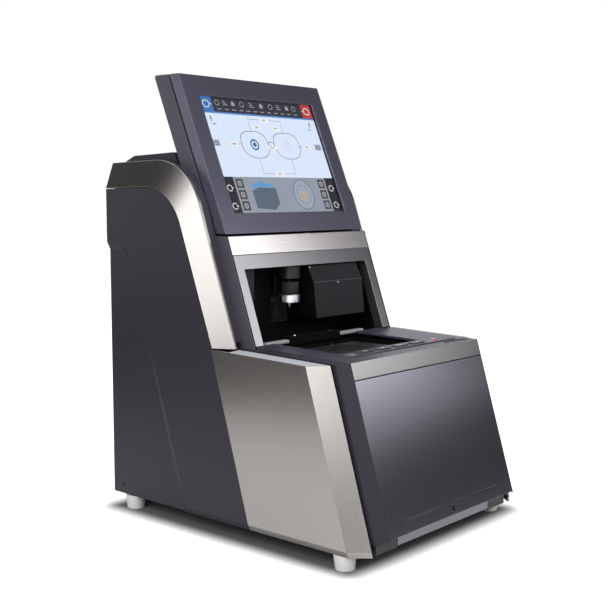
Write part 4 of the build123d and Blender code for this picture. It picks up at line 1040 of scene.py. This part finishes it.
lens_lines = lens_outline(RIGHT_EYE, EYE_V, LENS_RX, LENS_RV, 0.8)
lens_lines += lens_outline(LEFT_EYE, EYE_V, LENS_RX, LENS_RV, 0.8)
lens_lines += hoop(3.5, EYE_V + 1, 6.5, 4.0, 0.8, 10, 170, 12)
for x, sign in ((RIGHT_EYE, -1), (LEFT_EYE, 1)):
    lens_lines += [bar(x - 0.25, EYE_V - 40, x + 0.25, EYE_V - 19.5)]
    lens_lines += [bar(x - 0.25, EYE_V + 19.5, x + 0.25, EYE_V + 36)]
    start, stop = sorted((x + sign * 26, x + sign * 40))
    lens_lines += [bar(start, EYE_V - 0.25, stop, EYE_V + 0.25)]
lens_lines += [bar(RIGHT_EYE, v, LEFT_EYE, v + 0.5) for v in (EYE_V + 35.5, 53)]
screen_layer("lens_lines", lens_lines, 96, (0.9, 1, 1.2), 1)

value_boxes = [bar(-5.5, EYE_V + 33.5, 12.5, EYE_V + 38), bar(-6, EYE_V - 5.5, 13, EYE_V - 0.5),
               bar(-5.5, 50.8, 12.5, 55.6), bar(-22, EYE_V + 22, -6, EYE_V + 27.5),
               bar(13, EYE_V + 22, 29, EYE_V + 27.5), bar(-72, EYE_V - 3, -58, EYE_V + 2.6),
               bar(66, EYE_V - 3, 80, EYE_V + 2.6)]
screen_layer("value_boxes", value_boxes, 252, (1, 1, 1), 2)
figures = []
for (x0, v0), _, (x1, v1), _ in value_boxes:
    first, margin = (x0 + x1) / 2 - 3.4, 0.3 * (v1 - v0)
    for k in range(3):
        figures += [bar(first + 2.4 * k, v0 + margin, first + 1.3 + 2.4 * k, v1 - margin)]
screen_layer("value_figures", figures, 90, (0.95, 1, 1.15), 3)

right_target = hoop(RIGHT_EYE - 1, EYE_V, 7.8, 7.8, 2.2) + [disc(RIGHT_EYE - 1, EYE_V, 3.2, 3.2)]
right_target += [bar(RIGHT_EYE - 1.5, EYE_V + 3, RIGHT_EYE - 0.5, EYE_V + 8)]
screen_layer("right_target", right_target, 118, (0.2, 0.9, 2.0), 2)
left_target = hoop(LEFT_EYE, EYE_V, 7.0, 7.0, 0.6)
left_target += [bar(LEFT_EYE - 2.6, EYE_V - 0.3, LEFT_EYE + 2.6, EYE_V + 0.3),
                bar(LEFT_EYE - 0.3, EYE_V - 4, LEFT_EYE + 0.3, EYE_V + 4)]
screen_layer("left_target", left_target, 226, (1.05, 0.62, 0.60), 2)
knots = [disc(eye + side, EYE_V, 1.1, 1.1, 12) for eye in (RIGHT_EYE, LEFT_EYE)
         for side in (-LENS_RX, LENS_RX)]
screen_layer("width_knots", knots, 150, (0.2, 1.2, 1.2), 3)

steps = []
for x, sign in ((-93, 1), (93, -1)):
    steps += [bar(x - 0.5, 122, x + 0.5, 129), stroke(x, 119, x + sign * 7, 119, 1.0),
              stroke(x - sign * 1.5, 125.5, x, 130, 0.8),
              stroke(x + sign * 1.5, 125.5, x, 130, 0.8)]
screen_layer("step_signs", steps, 90, (1, 0.95, 0.95), 2)
side_keys = [bar(-103, EYE_V - 4, -90, EYE_V + 4.5), bar(90, EYE_V - 4, 103, EYE_V + 4.5)]
screen_layer("side_keys", side_keys, 176, (0.94, 1, 1.2), 2)
side_key_signs = hoop(-96.5, EYE_V, 4, 2.8, 0.8) + hoop(96.5, EYE_V, 4, 2.8, 0.8)
screen_layer("side_key_signs", side_key_signs, 90, (0.8, 1, 1.3), 3)

tool_buttons, tool_signs, tool_stems = [], [], []
for x in (-83, 72):
    for v in (3, 18, 33):
        tool_buttons += [bar(x, v, x + 13, v + 12.5)]
        tool_signs += hoop(x + 6.5, v + 6.2, 3.6, 3.6, 0.9)
        tool_stems += [bar(x + 6, v + 4.6, x + 7, v + 7.8)]
tool_signs += tool_stems
for x in (-96, 97):
    for v in (9, 33):
        tool_signs += hoop(x, v, 5.0, 4.6, 1.4, 40, 320, 16)
        tool_signs += [[(x + 3.2, v - 2.2), (x + 6.6, v + 0.2), (x + 2.6, v + 2.6)]]
screen_layer("tool_buttons", tool_buttons, 74, (0.96, 1, 1.1), 2)
screen_layer("tool_signs", tool_signs, 214, (1, 1, 1.04), 3)

tray_box = [[(-58, 6), (-26, 3), (-14, 12), (-14, 33), (-46, 34), (-58, 29)]]
tray_lid = [[(-58, 29.5), (-46, 34.5), (-14, 33.5), (-24, 39), (-54, 39)],
            [(-45, 39), (-32, 39), (-38, 45)]]
screen_layer("tray_sign", tray_box, 104, (0.75, 1, 1.35), 2)
screen_layer("tray_sign_lid", tray_lid, 160, (0.35, 1, 2.0), 3)
screen_layer("gauge_face", [disc(GAUGE_X, GAUGE_V, 19, 21, 40)], 176, (0.84, 0.94, 1.2), 2)
gauge_rings = hoop(GAUGE_X, GAUGE_V, 19.5, 21.5, 1.2, count=40)
gauge_rings += hoop(GAUGE_X, GAUGE_V, 12.5, 13.5, 0.6, count=32)
screen_layer("gauge_rings", gauge_rings, 120, (0.7, 0.9, 1.4), 3)
needle = [bar(30, 17, 44, 18), bar(30, 27, 44, 28), bar(30, 17, 31, 28), bar(43, 17, 44, 28),
          bar(24, 22, 29, 23), bar(45, 22, 50, 23), bar(36.5, 7, 37.5, 15), bar(34, 21, 40, 24.5)]
screen_layer("gauge_needle", needle, 200, (1.15, 0.78, 0.10), 4)

# Back. The mains rocker carries two printed white signs, a line and a ring. The louvres and the
# openings for the sockets are the rear cover's own.
ROCKER_X, ROCKER_FACE_Y, ROCKER_Z = 0.062, 0.2174, 0.0701
rocker_signs = [bar(-0.0004, 0.0050, 0.0004, 0.0080)]
rocker_signs += hoop(0, -0.0042, 0.0019, 0.0019, 0.0005, count=20)
flat_print("rocker_signs", rocker_signs, print_white, "rocker",
           lambda a, b, rise: Vector((ROCKER_X - a, ROCKER_FACE_Y + rise, ROCKER_Z + b)))
